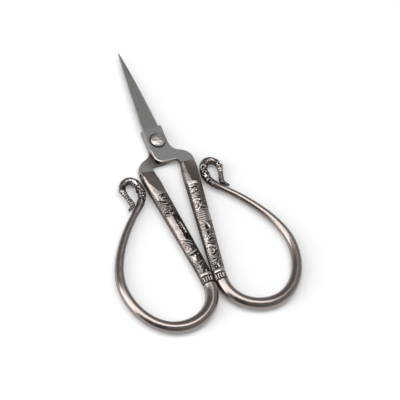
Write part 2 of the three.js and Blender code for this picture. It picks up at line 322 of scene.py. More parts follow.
edgeLook = {  # broken edges of the blades
    "light": (0.7484, 0.7144, 0.6804, 1.0),
    "dark": (0.6124, 0.5783, 0.5443, 1.0),
    "roughness": (0.42, 0.52),
    "cloudScale": 900.0,
    "scratchDepth": 0.000003, "scratchStrength": 0.4,
}
wallLook = {  # walls of the blades, darker towards the tang, with painted shade on the walls facing down and inward
    "light": (0.5557, 0.533, 0.5103, 1.0),
    "dark": (0.4536, 0.4309, 0.4082, 1.0),
    "black": (0.0567, 0.0329, 0.0238, 1.0),
    "roughness": (0.25, 0.35),
    "cloudScale": 900.0,
    "scratchDepth": 0.000003, "scratchStrength": 0.4,
}
rivetLook = {
    "light": (0.5216, 0.4763, 0.4536, 1.0),
    "dark": (0.3629, 0.3198, 0.2971, 1.0),
    "black": (0.034, 0.0284, 0.0249, 1.0),  # painted shadow round the foot of the head
    "roughness": (0.30, 0.42),
    "cloudScale": 900.0,
    "scratchDepth": 0.000005, "scratchStrength": 0.4,
}


def polishedSteel(name, look):
    material = bpy.data.materials.new(name)
    add = shaderAdder(material)
    where = add("ShaderNodeTexCoord").outputs["Object"]
    cloud = noise(add, where, look["cloudScale"], detail=4.0)
    colour = colourMix(add, cloud, look["dark"], look["light"])
    if "black" in look:
        colour = colourMix(add, attribute(add, "recess"), colour, look["black"])
    rough = ranged(add, cloud, noiseSpan, look["roughness"])
    metalSurface(add, colour, rough, cloud, look["scratchStrength"], look["scratchDepth"])
    return material


bladeFinish = groundSteel()
wallFinish = polishedSteel("wallSteel", wallLook)
edgeFinish = polishedSteel("edgeSteel", edgeLook)
handleFinish = handleMetal()
rivetFinish = polishedSteel("rivetSteel", rivetLook)
print("materials made")


# Blades: the solids with their own finish on the walls and polished, broken edges, widest round the tang

bladeSettings = {
    "rimBreak": 0.12, "edgeShare": 0.6, "edgeSegments": 3, "edgeAngle": 25.0, "outerFace": 1.9,
    "rimFrom": -10.7, "rimTo": 8.0, "wallLean": 0.35,
    "landWidth": 0.42, "landDrop": 0.09, "landFades": (-9.2, -8.2, -4.2, -2.6),  # rim below the rivet, with a painted highlight
    # wallDarkening: walls darker towards the tang; lowerShade: painted shade on walls facing down below the
    # tang and on its inner walls
    "wallDarkening": 0.42, "sideFrom": 22.0, "sideFull": 4.0,
    "lowerShade": 0.96, "lowerTo": -4.0, "innerTo": -7.4, "lowerLean": -0.4,
    "highlightFacing": (-0.1, 0.5), "facesOut": 0.99, "slack": 0.05, "mergeAngle": 0.6,
}


def bladePiece(name, node, body, outward):
    s = bladeSettings
    finishes = [bladeFinish, wallFinish, edgeFinish]  # material indices 0, 1 and 2 below
    bm = bmesh.new()
    bm.from_mesh(frame["nodes"][node].data)
    bmesh.ops.remove_doubles(bm, verts=bm.verts, dist=mergeDistance)
    bmesh.ops.dissolve_limit(bm, angle_limit=math.radians(s["mergeAngle"]), verts=bm.verts, edges=bm.edges)
    bm.normal_update()
    darkeningAndShade = bm.faces.layers.float.new("recess")
    for face in bm.faces:
        height = (face.calc_center_median() - pivot).y / mm
        face.material_index = 1 if abs(face.normal.z) < s["wallLean"] else 0
        face[darkeningAndShade] = s["wallDarkening"] * float(smooth(s["sideFrom"], s["sideFull"], height))
        # painted shade on walls facing down and on the inner walls below the tang
        below = height < s["lowerTo"] and face.normal.y < s["lowerLean"]
        inside = height < s["innerTo"] and face.normal.x * outward < s["lowerLean"]
        if below or inside:
            face[darkeningAndShade] = s["lowerShade"]
    # the outer face falls away a little at its rim round the tang, with a painted highlight on it
    low, lowFull, highFull, high = s["landFades"]
    for height in (lowFull, highFull, high):
        everything = [*bm.verts, *bm.edges, *bm.faces]
        level, along = (0.0, pivot.y + height * mm, 0.0), (0.0, 1.0, 0.0)
        bmesh.ops.bisect_plane(bm, geom=everything, dist=cutDistance, plane_co=level, plane_no=along)
    outer = []
    for face in bm.faces:
        middle = (face.calc_center_median() - pivot) / mm
        onTop = face.normal.z * outward > s["facesOut"] and middle.z * outward > s["outerFace"] - s["slack"]
        if onTop and face.material_index == 0 and middle.y < high:
            outer.append(face)
    land = bmesh.ops.inset_region(bm, faces=outer, thickness=s["landWidth"] * mm)["faces"]
    rimHighlight = bm.verts.layers.float.new("land")
    for vertex in {v for face in land for v in face.verts}:
        walls = [f.normal for f in vertex.link_faces if abs(f.normal.z) < s["wallLean"]]
        if walls:  # painted highlight only where the wall faces the handles or the other half's shoulder, towards the light
            facing = sum(walls, Vector()).normalized()
            towards = -(facing.x * outward + facing.y) * math.sqrt(0.5)
            height = (vertex.co.y - pivot.y) / mm
            share = smooth(low, lowFull, height) * smooth(high, highFull, height)
            share = float(share * smooth(*s["highlightFacing"], towards))
            vertex[rimHighlight] = share
            vertex.co.z -= outward * s["landDrop"] * mm * share
    for face in land:
        face[darkeningAndShade] = 0.0
        face.material_index = 0
    bm.normal_update()
    weight = bm.edges.layers.float.new("bevel_weight_edge")
    for edge in bm.edges:
        if len(edge.link_faces) != 2 or edge.calc_face_angle() < math.radians(s["edgeAngle"]):
            continue
        ends = [(v.co - pivot) / mm for v in edge.verts]
        onFace = all(abs(e.z * outward - s["outerFace"]) < s["landDrop"] + s["slack"] for e in ends)
        onRim = all(s["rimFrom"] < e.y < s["rimTo"] for e in ends)
        atSeam = all(e.y < s["rimFrom"] for e in ends)
        edge[weight] = 0.0 if atSeam else 1.0 if onFace and onRim else s["edgeShare"]
    mesh = bpy.data.meshes.new(name)
    bm.to_mesh(mesh)
    bm.free()
    for finish in finishes:
        mesh.materials.append(finish)
    rough = bpy.data.objects.new(name + ".rough", mesh)
    bpy.context.scene.collection.objects.link(rough)
    bevel = rough.modifiers.new("edgeBreak", "BEVEL")
    bevel.width = s["rimBreak"] * mm
    bevel.segments = s["edgeSegments"]
    bevel.limit_method = "WEIGHT"
    bevel.material = 2
    bevel.harden_normals = True
    shaped = bpy.data.meshes.new_from_object(rough.evaluated_get(bpy.context.evaluated_depsgraph_get()))
    bpy.data.objects.remove(rough)
    shaped.name = name
    piece(name, shaped, finishes, body, node)


bladePiece("frontBlade", "front_blade", "front_half", 1.0)
bladePiece("backBlade", "back_blade", "back_half", -1.0)
print("blades made")


# Rivet: turned, with a domed head on a thin flange painted dark as its shadow, and a flush tail

rivetSettings = {
    "headRadius": 2.7, "headSeat": 1.95, "wallHeight": 0.5, "domeHeight": 0.6, "rimRound": 0.1,
    "flangeRadius": 3.15, "flangeUnder": 1.905,
    "shaftRadius": 1.5, "tailRadius": 2.2, "tailFace": -1.9, "tailDepth": 0.8, "sides": 72, "domeSteps": 22,
    "dent": 0.06, "dents": (7, 11), "dentSeed": 4, "dentFull": 0.35, "dentRim": 0.93,
    "breaks": 0.02, "flangeBreak": 0.03, "wallTop": 0.12, "sharpAngle": 35.0,
    # black, footShadow and wallShadow: painted shadow on the flange and round the foot of the head
    "black": 0.95, "footShadow": 0.6, "wallShadow": 0.1, "tailBlack": 0.4, "shaftBlack": 0.5, "tailFlat": 0.6,
}


def rivetPiece():
    s = rivetSettings
    rim = s["headSeat"] + s["wallHeight"]
    head, flange, shaft, tail = s["headRadius"], s["flangeRadius"], s["shaftRadius"], s["tailRadius"]
    tailFace, under, seat, black = s["tailFace"], s["flangeUnder"], s["headSeat"], s["black"]
    profile = [  # radius, height, painted shadow
        (0.0, tailFace, 0.0), (tail * s["tailFlat"], tailFace, 0.0),
        (tail, tailFace + s["breaks"], s["tailBlack"]), (shaft, tailFace + s["tailDepth"], s["shaftBlack"]),
        (shaft, under, black), (flange, under, black),
        (flange, seat - s["breaks"], black), (flange - s["flangeBreak"], seat, black),
        (head, seat, black), (head, seat + s["rimRound"], s["footShadow"]),
        (head, rim - s["wallTop"], s["wallShadow"]),
    ]
    for i in range(s["domeSteps"] + 1):
        angle = (math.pi / 2) * i / s["domeSteps"]
        profile.append((head * math.cos(angle), rim + s["domeHeight"] * math.sin(angle), 0.0))
    turns = np.linspace(0.0, 2 * math.pi, s["sides"], endpoint=False)
    radius, height, paintedShadow = (np.array(column)[:, None] for column in zip(*profile))
    level = np.zeros_like(turns)
    rings = np.stack([radius * np.cos(turns), radius * np.sin(turns), height + level], -1)
    dome = s["domeSteps"] + 1
    dents = patchyNoise((dome, s["sides"]), s["dents"], s["dentSeed"])
    out = radius[-dome:] / head
    dents = s["dent"] * dents * smooth(0.0, s["dentFull"], out) * smooth(1.0, s["dentRim"], out)
    rings[-dome:, :, 2] += dents
    mesh = skin("pivotRivet", rings, {"recess": paintedShadow + level})
    setDown(mesh, False)
    finishMesh(mesh, s["sharpAngle"])
    piece("pivotRivet", mesh, [rivetFinish], "back_half", "pivot_rivet")


rivetPiece()
print("rivet made")


# Bows: a smooth rod swept along each teardrop by Geometry Nodes

bowSettings = {
    "start": (2.6, -59.62), "bottom": (17.2, -72.6), "widest": (34.445, -52.4), "neck": (18.283, -25.0),
    "neckAngle": 138.0, "heelPull": (8.4, 7.0), "roundPull": (10.0, 10.9), "sidePull": (9.1, 10.5),
    "footDiameter": 5.0, "heelDiameter": 4.75, "neckDiameter": 2.55, "stations": 260, "sides": 48,
    "resolution": 64, "endPull": 1.0, "sharpAngle": 40.0,
}


def rodTree():
    tree, sockets = geometryTree("sweptRod", {"Stations": "Int", "Sides": "Int", "Finish": "Material"}, "Rod")
    add = nodeAdder(tree)
    given = add("NodeGroupInput").outputs
    even = add("GeometryNodeResampleCurve", {"Curve": given["Path"], "Count": given["Stations"]})
    circle = add("GeometryNodeCurvePrimitiveCircle", {"Resolution": given["Sides"], "Radius": 1.0})
    swept = add("GeometryNodeCurveToMesh", {
        "Curve": even.outputs["Curve"], "Profile Curve": circle.outputs["Curve"],
        "Scale": add("GeometryNodeInputRadius").outputs["Radius"], "Fill Caps": True})
    real = add("GeometryNodeRealizeInstances", {"Geometry": swept.outputs["Mesh"]}).outputs["Geometry"]
    dressed = add("GeometryNodeSetMaterial", {"Geometry": real, "Material": given["Finish"]})
    add("NodeGroupOutput", {"Rod": dressed.outputs["Geometry"]})
    return tree, sockets


def bowMesh(name):
    s = bowSettings
    angle = math.radians(s["neckAngle"])
    inward = np.array([math.cos(angle), math.sin(angle)])
    down, up, out = np.array([0.0, -1.0]), np.array([0.0, 1.0]), np.array([1.0, 0.0])
    joints = [np.array(s[k], float) for k in ("start", "bottom", "widest", "neck")]
    heading = [down, out, up, inward]
    pulls = [s["heelPull"], s["roundPull"], s["sidePull"]]
    lengths = []
    for k in range(len(pulls)):
        p = sweepPoints(joints[k], heading[k], pulls[k][0], joints[k + 1], heading[k + 1], pulls[k][1])
        lengths.append(np.linalg.norm(np.diff(p, axis=0), axis=1).sum())
    atWidest = lengths[1] / (lengths[1] + lengths[2])
    radii = [s["footDiameter"] / 2, s["heelDiameter"] / 2,
             mixed(s["heelDiameter"], s["neckDiameter"], atWidest) / 2, s["neckDiameter"] / 2]
    data = bpy.data.curves.new(name + "Path", "CURVE")
    data.dimensions = "3D"
    data.resolution_u = s["resolution"]
    spline = data.splines.new("BEZIER")
    spline.bezier_points.add(len(pulls))
    for k, point in enumerate(spline.bezier_points):
        before = pulls[k - 1][1] if k > 0 else s["endPull"]
        after = pulls[k][0] if k < len(pulls) else s["endPull"]
        point.handle_left_type = point.handle_right_type = "FREE"
        point.co = (*joints[k], 0.0)
        point.handle_left = (*(joints[k] - heading[k] * before), 0.0)
        point.handle_right = (*(joints[k] + heading[k] * after), 0.0)
        point.radius = radii[k]
    return meshFromTree(name + "Path", data, rodNodes, {
        "Stations": s["stations"], "Sides": s["sides"], "Finish": handleFinish})


rodNodes = rodTree()
handlePair("Bow", bowMesh, bowSettings["sharpAngle"])
print("bows made")


# Shanks: a bar that narrows to the foot, with ground flats at its top and cast ornament on both faces

shankSettings = {
    "top": 10.72, "foot": 59.56, "flatRows": 70, "flatsTo": 19.2, "rows": 570, "columns": 148,
    "lineTop": 10.9, "topCentre": 8.4, "corner": 56.2, "footCentre": 2.525, "bend": 3.3, "lineFoot": 59.5,
    "topWidth": 6.3, "footWidth": 4.75, "topHeight": 5.17, "footHeight": 4.75,
    "outerTop": 2.5, "outerFull": 14.0,  # the outer side draws in to meet the shoulder
    "square": 5.0, "squareTo": 15.0,  # and is squarer there
    "swell": 0.24, "swells": (12.0, 16.0), "innerFoot": 0.09, "innerFades": (47.0, 55.0),
    "depth": 0.5, "wander": 0.07, "unevenness": 0.12, "moat": 0.16, "moatReach": 0.34,
    "leftFade": (0.84, 0.93), "rightFade": (0.94, 0.99), "sideShade": 0.78,
    "plateTop": 1.9, "plateUnder": 0.3, "flatRound": 0.07, "flatEdgeShade": 0.9, "flatEdgeShadeReach": (0.4, 0.05),
    "onFlat": (-0.01, 0.03), "patina": (0.78, 0.1), "sideFade": (0.86, 0.97), "sharpAngle": 60.0,
    "footFades": (59.15, 59.35), "footLevel": 0.3, "bendSteps": 40, "beyond": (2.0, 5.0),
    "leanFrom": 1.6, "leanUp": 0.45, "leanOver": 0.5,  # raised places are seen higher up and further over
    "reliefCells": (110, 30), "reliefSeed": 5, "blotchRelief": 0.3,
    "blotches": [(0.6, (50, 26), 8), (0.55, (130, 58), 12)],  # share, cells, seed
    "crest": (0.55, 0.95), "moatFades": (0.08, 0.14), "startFades": (0.5, 0.2, 0.3),
    "panelEdge": 0.12, "panelUneven": 0.5, "ribWidth": 0.8, "ribShine": (0.7, 0.2),
    "grooveFloor": 0.3, "pitFloor": 0.45, "ringFill": 0.94, "ringCrest": (0.6, 0.9),
}

# Ornament, in millimetres down from the pivot and across the bar, as seen in the photograph's view
# strokes: half width, points and, where it isn't full, brightness; grooves: half width, points
# domes and pits: place, half length, half width, turn
# panels: down from, to, across from, to, level, brightness
# ribs: down from, to, across from, to, pitch, the level between them, brightness
# ground: place down, then a place across and the level there, twice
# side: place down, then where the painted shade on the bar's side starts, where it is full and how strong it
# is
# flatShadeShare: how far the flat's own finish, darkened with painted shade, covers the metal
# brightness and shine: rubbed bright metal with painted highlights
rightFace = {
    "starts": 19.3, "flatShadeShare": 1.0, "shine": 1.0, "bandHighlight": 0.3, "ringShine": 0.45,
    "stain": 0.1, "tone": 0.0, "barOffset": 0.05,
    "ground": [(49.0, -1.9, 0.88, 0.5, 0.44), (50.0, -1.9, 0.62, 0.5, 0.44), (51.5, -1.9, 0.7, 0.5, 0.44),
               (52.5, -1.9, 0.5, 0.5, 0.44)],
    "side": [(18.6, -2.6, -3.4, 0.55), (20.2, -2.35, -2.9, 0.75)],
    "rings": [(30.95, 31.3), (55.2, 56.65)],
    "strokes": [
        (0.60, [(19.7, -2.4), (19.65, -1.4), (19.6, -0.4), (19.7, 0.5), (19.9, 1.2)]),
        (0.40, [(20.5, -2.5), (20.8, -1.8), (20.75, -1.1), (20.6, -0.3)]),
        (0.34, [(23.1, -2.6), (22.7, -2.0), (22.3, -1.4), (22.0, -0.8), (21.8, -0.2)]),
        (0.26, [(23.0, -1.5), (23.15, -1.1), (23.1, -0.6)]),
        (0.36, [(24.1, -2.5), (24.4, -1.8), (24.9, -1.5), (25.3, -1.9), (25.4, -2.5)], 0.3),
        (0.30, [(24.2, -0.8), (24.6, 0.2), (24.8, 1.3)], 0.5),
        (0.46, [(26.7, -2.5), (26.35, -1.7), (26.2, -0.9), (26.45, -0.1), (26.8, 0.4)]),
        (0.30, [(28.5, -0.3), (29.0, 0.3), (29.4, 0.9), (29.9, 1.8)], 0.7),
        (0.40, [(30.4, -2.5), (30.4, -1.6), (30.1, -0.9), (29.5, -0.35), (28.9, 0.1)]),
        (0.26, [(29.4, -2.4), (29.1, -1.8), (28.6, -1.3)]),
        (0.32, [(35.95, -2.2), (36.0, -1.2), (35.9, -0.2), (36.5, 0.55), (37.4, 1.1), (38.5, 1.35),
                (39.2, 1.15), (39.4, 0.4), (39.2, -0.5)], 0.6),
        (0.40, [(40.6, -1.6), (41.4, -1.75), (42.2, -1.6), (42.5, -1.1)]),
        (0.32, [(42.5, -1.1), (41.9, -0.5), (41.35, 0.2), (41.1, 1.0), (41.4, 2.0)]),
        (0.28, [(42.9, -0.8), (42.5, 0.0), (42.2, 0.7), (42.2, 1.8)]),
        (0.42, [(44.95, -1.2), (45.3, -0.5), (45.7, 0.2), (46.1, 0.9), (46.4, 1.6)]),
        (0.30, [(47.0, -0.2), (47.2, 0.3), (47.8, 0.55), (48.3, 0.2), (48.5, -0.6), (48.5, -1.3)]),
        (0.28, [(47.2, -0.4), (47.5, -1.0), (47.9, -1.6)]),
        (0.30, [(48.7, -2.2), (48.9, -1.7), (49.5, -1.6)]),
        (0.30, [(50.4, -2.4), (50.2, -1.6), (50.2, -0.8), (50.5, -0.1)]),
        (0.32, [(52.0, -1.9), (51.75, -1.2), (51.5, -0.5), (51.3, 0.2)]),
        (0.28, [(52.6, -2.5), (52.75, -1.9), (52.9, -1.3)]),
        (0.30, [(51.7, 1.5), (52.1, 0.8), (52.8, 0.45), (53.5, 0.45), (54.4, 0.9), (54.8, 1.5)], 0.6),
        (0.26, [(54.0, -2.4), (54.4, -1.9), (54.8, -1.9)]),
    ],
    "domes": [
        (22.65, 0.2, 0.42, 0.55, 0.0), (27.4, -1.6, 0.4, 0.4, 0.0), (28.4, 0.85, 0.35, 0.35, 0.0),
        (41.4, -1.6, 0.5, 0.35, 0.0), (43.3, -1.9, 0.8, 0.5, 0.0), (40.0, -0.8, 0.35, 0.25, 0.0),
        (43.6, 0.6, 0.3, 0.3, 0.0), (43.6, 1.7, 0.3, 0.25, 0.0), (46.3, -1.7, 0.4, 0.35, 0.0),
        (47.3, 1.5, 0.5, 0.3, 0.0), (51.2, -2.0, 0.5, 0.4, 0.0), (54.1, -0.7, 0.42, 0.42, 0.0),
    ],
    "panels": [(36.3, 39.5, -2.9, -0.55, 0.85, 0.0), (42.6, 46.0, -2.9, -1.2, 0.9, 0.45)],
    "ribs": [(31.45, 35.8, -2.3, 2.6, 0.85, 0.6, 0.25)],
    "grooves": [
        (0.22, [(21.5, -1.3), (21.45, -0.7), (21.2, -0.1), (21.5, 0.5), (22.0, 1.0)]),
        (0.20, [(23.4, -0.5), (23.4, 0.6)]),
        (0.15, [(23.4, -1.7), (23.6, -1.2)]),
        (0.28, [(43.4, -0.2), (42.8, 0.3), (42.8, 1.1), (43.3, 1.5)]),
        (0.26, [(44.5, -1.3), (44.6, -0.6), (44.7, 0.3), (44.9, 1.2)]),
        (0.20, [(46.2, -1.0), (46.6, -0.6), (46.8, 0.3)]),
        (0.26, [(46.9, 0.6), (47.5, 1.0), (48.2, 1.05), (48.8, 0.6), (49.1, -0.3), (49.0, -1.0)]),
        (0.22, [(50.7, -1.0), (50.75, -0.3), (51.0, 0.2)]),
        (0.20, [(53.35, -0.7), (53.6, -0.15), (54.1, 0.05), (54.6, -0.15), (54.85, -0.7), (54.6, -1.25),
                (54.1, -1.45), (53.6, -1.25), (53.35, -0.7)]),
    ],
    "pits": [
        (25.6, 0.1, 0.3, 0.35, 0.0), (27.5, 0.5, 0.45, 0.5, 0.0), (28.9, -0.8, 0.32, 0.32, 0.0),
        (30.4, 0.5, 0.65, 0.8, 0.0), (37.9, 0.1, 1.3, 0.7, 8.0), (40.3, 0.2, 0.8, 0.65, 0.0),
        (48.0, -0.7, 0.25, 0.6, -20.0), (51.8, 0.35, 0.3, 0.3, 0.0), (53.2, 1.4, 0.9, 0.3, 0.0),
    ],
}
leftFace = {
    "starts": 20.0, "flatShadeShare": 0.5, "shine": 0.75, "bandHighlight": 0.0, "ringShine": 0.8,
    "stain": 0.42, "tone": 0.13, "barOffset": 0.35,
    "ground": [
        (20.0, -1.0, 0.9, 0.5, 0.42), (22.5, -1.0, 0.85, 0.5, 0.42), (23.5, -1.0, 0.5, 0.5, 0.4),
        (29.7, -0.9, 0.5, 0.5, 0.4), (30.3, -0.4, 0.94, 0.2, 0.22), (40.8, -0.4, 0.94, 0.2, 0.2),
        (41.3, -0.9, 0.66, 0.4, 0.26), (49.8, -0.9, 0.72, 0.4, 0.26), (50.4, -0.9, 0.56, 0.4, 0.28),
        (55.0, -0.9, 0.52, 0.4, 0.28),
    ],
    "side": [(46.0, -2.45, -3.05, 0.62), (50.0, -2.35, -2.85, 0.78)],
    "rings": [(55.15, 56.6)],
    "strokes": [
        (0.75, [(20.3, -2.2), (21.3, -1.9), (22.4, -2.0)], 0.25),
        (0.50, [(22.4, -2.1), (23.2, -2.2)], 0.3),
        (0.40, [(20.55, -1.6), (20.6, -0.4), (20.55, 0.8), (20.5, 2.2)]),
        (0.40, [(22.3, 0.15), (22.8, -0.3), (23.4, -0.6)]),
        (0.22, [(23.4, -0.6), (23.8, -0.1), (23.9, 0.4)]),
        (0.32, [(24.85, -1.8), (24.95, -0.8), (25.05, 0.0), (25.1, 0.8)]),
        (0.28, [(25.6, -1.2), (26.2, -0.6), (26.4, 0.3), (26.3, 1.3)]),
        (0.26, [(29.6, -2.4), (29.7, -1.4), (29.9, -0.4), (29.6, 0.6)]),
        (0.22, [(33.4, 1.4), (34.8, 1.45), (36.2, 1.55), (38.1, 1.55)], 0.3),
        (0.20, [(32.2, 0.7), (32.8, 0.9), (33.4, 0.75)], 0.0),
        (0.16, [(34.2, -0.25), (36.0, -0.2), (38.2, -0.15)], 1.0),
        (0.30, [(40.8, -0.7), (41.1, 0.1), (41.5, 0.8), (42.0, 1.4)]),
        (0.30, [(41.9, -0.6), (42.3, 0.2), (42.8, 0.8), (43.3, 1.2)]),
        (0.26, [(42.9, -1.2), (43.2, -0.4), (43.5, 0.1)]),
        (0.42, [(46.9, -2.4), (46.6, -1.5), (46.2, -0.5), (45.9, 0.4), (45.6, 1.4)]),
        (0.28, [(51.1, -0.9), (50.7, -0.1), (50.4, 0.7), (50.2, 1.4)]),
        (0.28, [(51.8, 0.4), (51.3, 1.1), (50.9, 2.2)]),
        (0.24, [(51.6, -0.8), (52.4, -0.95), (53.4, -0.8), (54.3, -0.7)]),
        (0.26, [(53.8, -1.9), (54.8, -1.95)]),
        (0.26, [(54.0, 0.9), (54.9, 0.6)]),
    ],
    "domes": [
        (22.6, 1.0, 0.3, 0.5, 0.0), (24.2, -2.2, 0.4, 0.35, 0.0), (25.3, -2.2, 0.45, 0.35, 0.0),
        (26.3, -2.2, 0.5, 0.4, 0.0), (27.4, -2.2, 0.5, 0.4, 0.0), (28.4, -2.2, 0.45, 0.4, 0.0),
        (28.45, -1.2, 0.3, 0.5, 0.0), (28.0, -0.1, 0.35, 0.3, 0.0), (27.2, -1.0, 0.4, 0.35, 0.0),
        (27.2, 1.0, 0.55, 0.3, 0.0), (29.2, 0.75, 0.4, 0.4, 0.0), (42.7, -2.0, 0.6, 0.45, 0.0),
        (44.2, -2.1, 0.5, 0.35, 0.0), (48.6, -1.0, 1.7, 0.95, -20.0), (47.7, -0.1, 0.7, 0.5, 0.0),
        (50.2, -2.1, 0.9, 0.45, 0.0), (47.3, 1.35, 0.35, 0.3, 0.0), (52.4, -1.75, 0.5, 0.8, 0.0),
        (52.4, -0.3, 0.55, 0.5, 0.0),
    ],
    "panels": [(30.3, 40.9, -2.9, -0.1, 1.0, 0.0), (43.6, 45.5, -2.9, 0.0, 0.56, 0.0)],
    "ribs": [(33.6, 36.2, 0.2, 1.15, 0.85, 0.2, 0.1)],
    "grooves": [
        (0.28, [(23.6, -1.7), (24.0, -1.1), (24.3, -0.3), (24.3, 0.5)]),
        (0.20, [(28.8, -2.1), (29.05, -1.5), (28.95, -0.8)]),
        (0.22, [(47.5, -1.8), (47.3, -1.3), (47.0, -0.7)]),
        (0.24, [(55.0, -0.2), (54.4, 0.2), (53.7, 0.5)]),
    ],
    "pits": [
        (21.5, 0.7, 0.35, 0.65, 0.0), (23.6, 0.6, 0.4, 0.3, 0.0), (25.8, 0.7, 0.3, 0.55, 0.0),
        (28.5, 0.8, 0.28, 0.4, 0.0), (27.0, 1.65, 0.4, 0.25, 0.0), (31.2, 0.5, 1.1, 0.42, 0.0),
        (38.6, 0.5, 2.1, 0.42, 0.0), (44.0, 0.25, 0.5, 0.3, 0.0), (41.5, -1.0, 0.3, 0.25, 0.0),
        (49.3, 0.0, 0.6, 0.25, -35.0), (51.3, -0.1, 0.25, 0.3, 0.0), (52.5, 1.8, 0.25, 0.3, 0.0),
        (53.3, 1.8, 0.25, 0.3, 0.0),
    ],
}
barSettings = {
    "from": 57.2, "to": 58.75, "groundFrom": 56.6, "groundTo": 59.2, "fades": (0.2, 0.1), "ground": 0.1,
    "pitch": 1.12, "width": 0.66, "link": 0.27, "brightness": 0.5, "crest": (0.6, 0.95),
}
# Ground flats: the line of their edge, as places down and across, their rise, and where and how they end
flatSettings = {
    "rightEdge": [(11.3, -1.97), (13.0, -1.87), (15.0, -1.51), (17.0, -1.16), (19.3, -0.85)],
    "rightRise": 0.0645, "rightTilt": 0.22, "rightLength": 8.6,
    "rightEnd": (19.3, 0.35), "rightStep": (4.0, 0.45),
    "leftEdge": [(10.7, -2.38), (12.0, -2.5), (14.0, -2.25), (16.0, -1.85), (18.0, -1.15), (19.5, -0.55)],
    "leftRise": 1.8, "leftLength": 9.1, "leftMost": 1.2, "leftReach": 2.3,
    "leftEnd": (20.0, 0.05), "leftStep": (5.0, 0.4),
}


# A smooth line through given points
def flowing(points, steps=6):
    p = np.array([points[0], *points, points[-1]], float)
    line = []
    for k in range(1, len(p) - 2):
        for t in np.linspace(0.0, 1.0, steps, endpoint=False):
            a, b, c, d = p[k - 1], p[k], p[k + 1], p[k + 2]
            bend, twist = 2 * a - 5 * b + 4 * c - d, 3 * b - a - 3 * c + d
            line.append(0.5 * (2 * b + (c - a) * t + bend * t**2 + twist * t**3))
    return np.array(line + [p[-2]])


def nearLine(down, across, line, reach):
    beyond = reach * 4.0
    far = np.full(down.shape, beyond)
    low, high = line.min(0) - reach, line.max(0) + reach
    close = (down > low[0]) & (down < high[0]) & (across > low[1]) & (across < high[1])
    x, y = down[close], across[close]
    best = np.full(x.shape, beyond)
    for a, b in zip(line[:-1], line[1:]):
        step = b - a
        length = max(step @ step, 1e-12)
        t = np.clip(((x - a[0]) * step[0] + (y - a[1]) * step[1]) / length, 0.0, 1.0)
        best = np.minimum(best, np.hypot(x - a[0] - t * step[0], y - a[1] - t * step[1]))
    far[close] = best
    return far


# Values at each place down, between the rows of a given list that starts with such places
def columnsAt(down, rows):
    places, *columns = zip(*rows)
    return [np.interp(down, places, column) for column in columns]


# 0 at the middle of an oval, 1 at its rim
def inOval(down, across, oval):
    centre, side, longHalf, wideHalf, turn = oval
    c, s = math.cos(math.radians(turn)), math.sin(math.radians(turn))
    along = (down - centre) * c + (across - side) * s
    aside = (across - side) * c - (down - centre) * s
    return np.hypot(along / longHalf, aside / wideHalf)


def bulge(ratio):
    return np.sqrt(np.clip(1.0 - ratio * ratio, 0.0, 1.0))


# 1 between two places and 0 outside them, with soft edges
def within(low, high, edge, value):
    return smooth(low - edge, low + edge, value) * smooth(high + edge, high - edge, value)


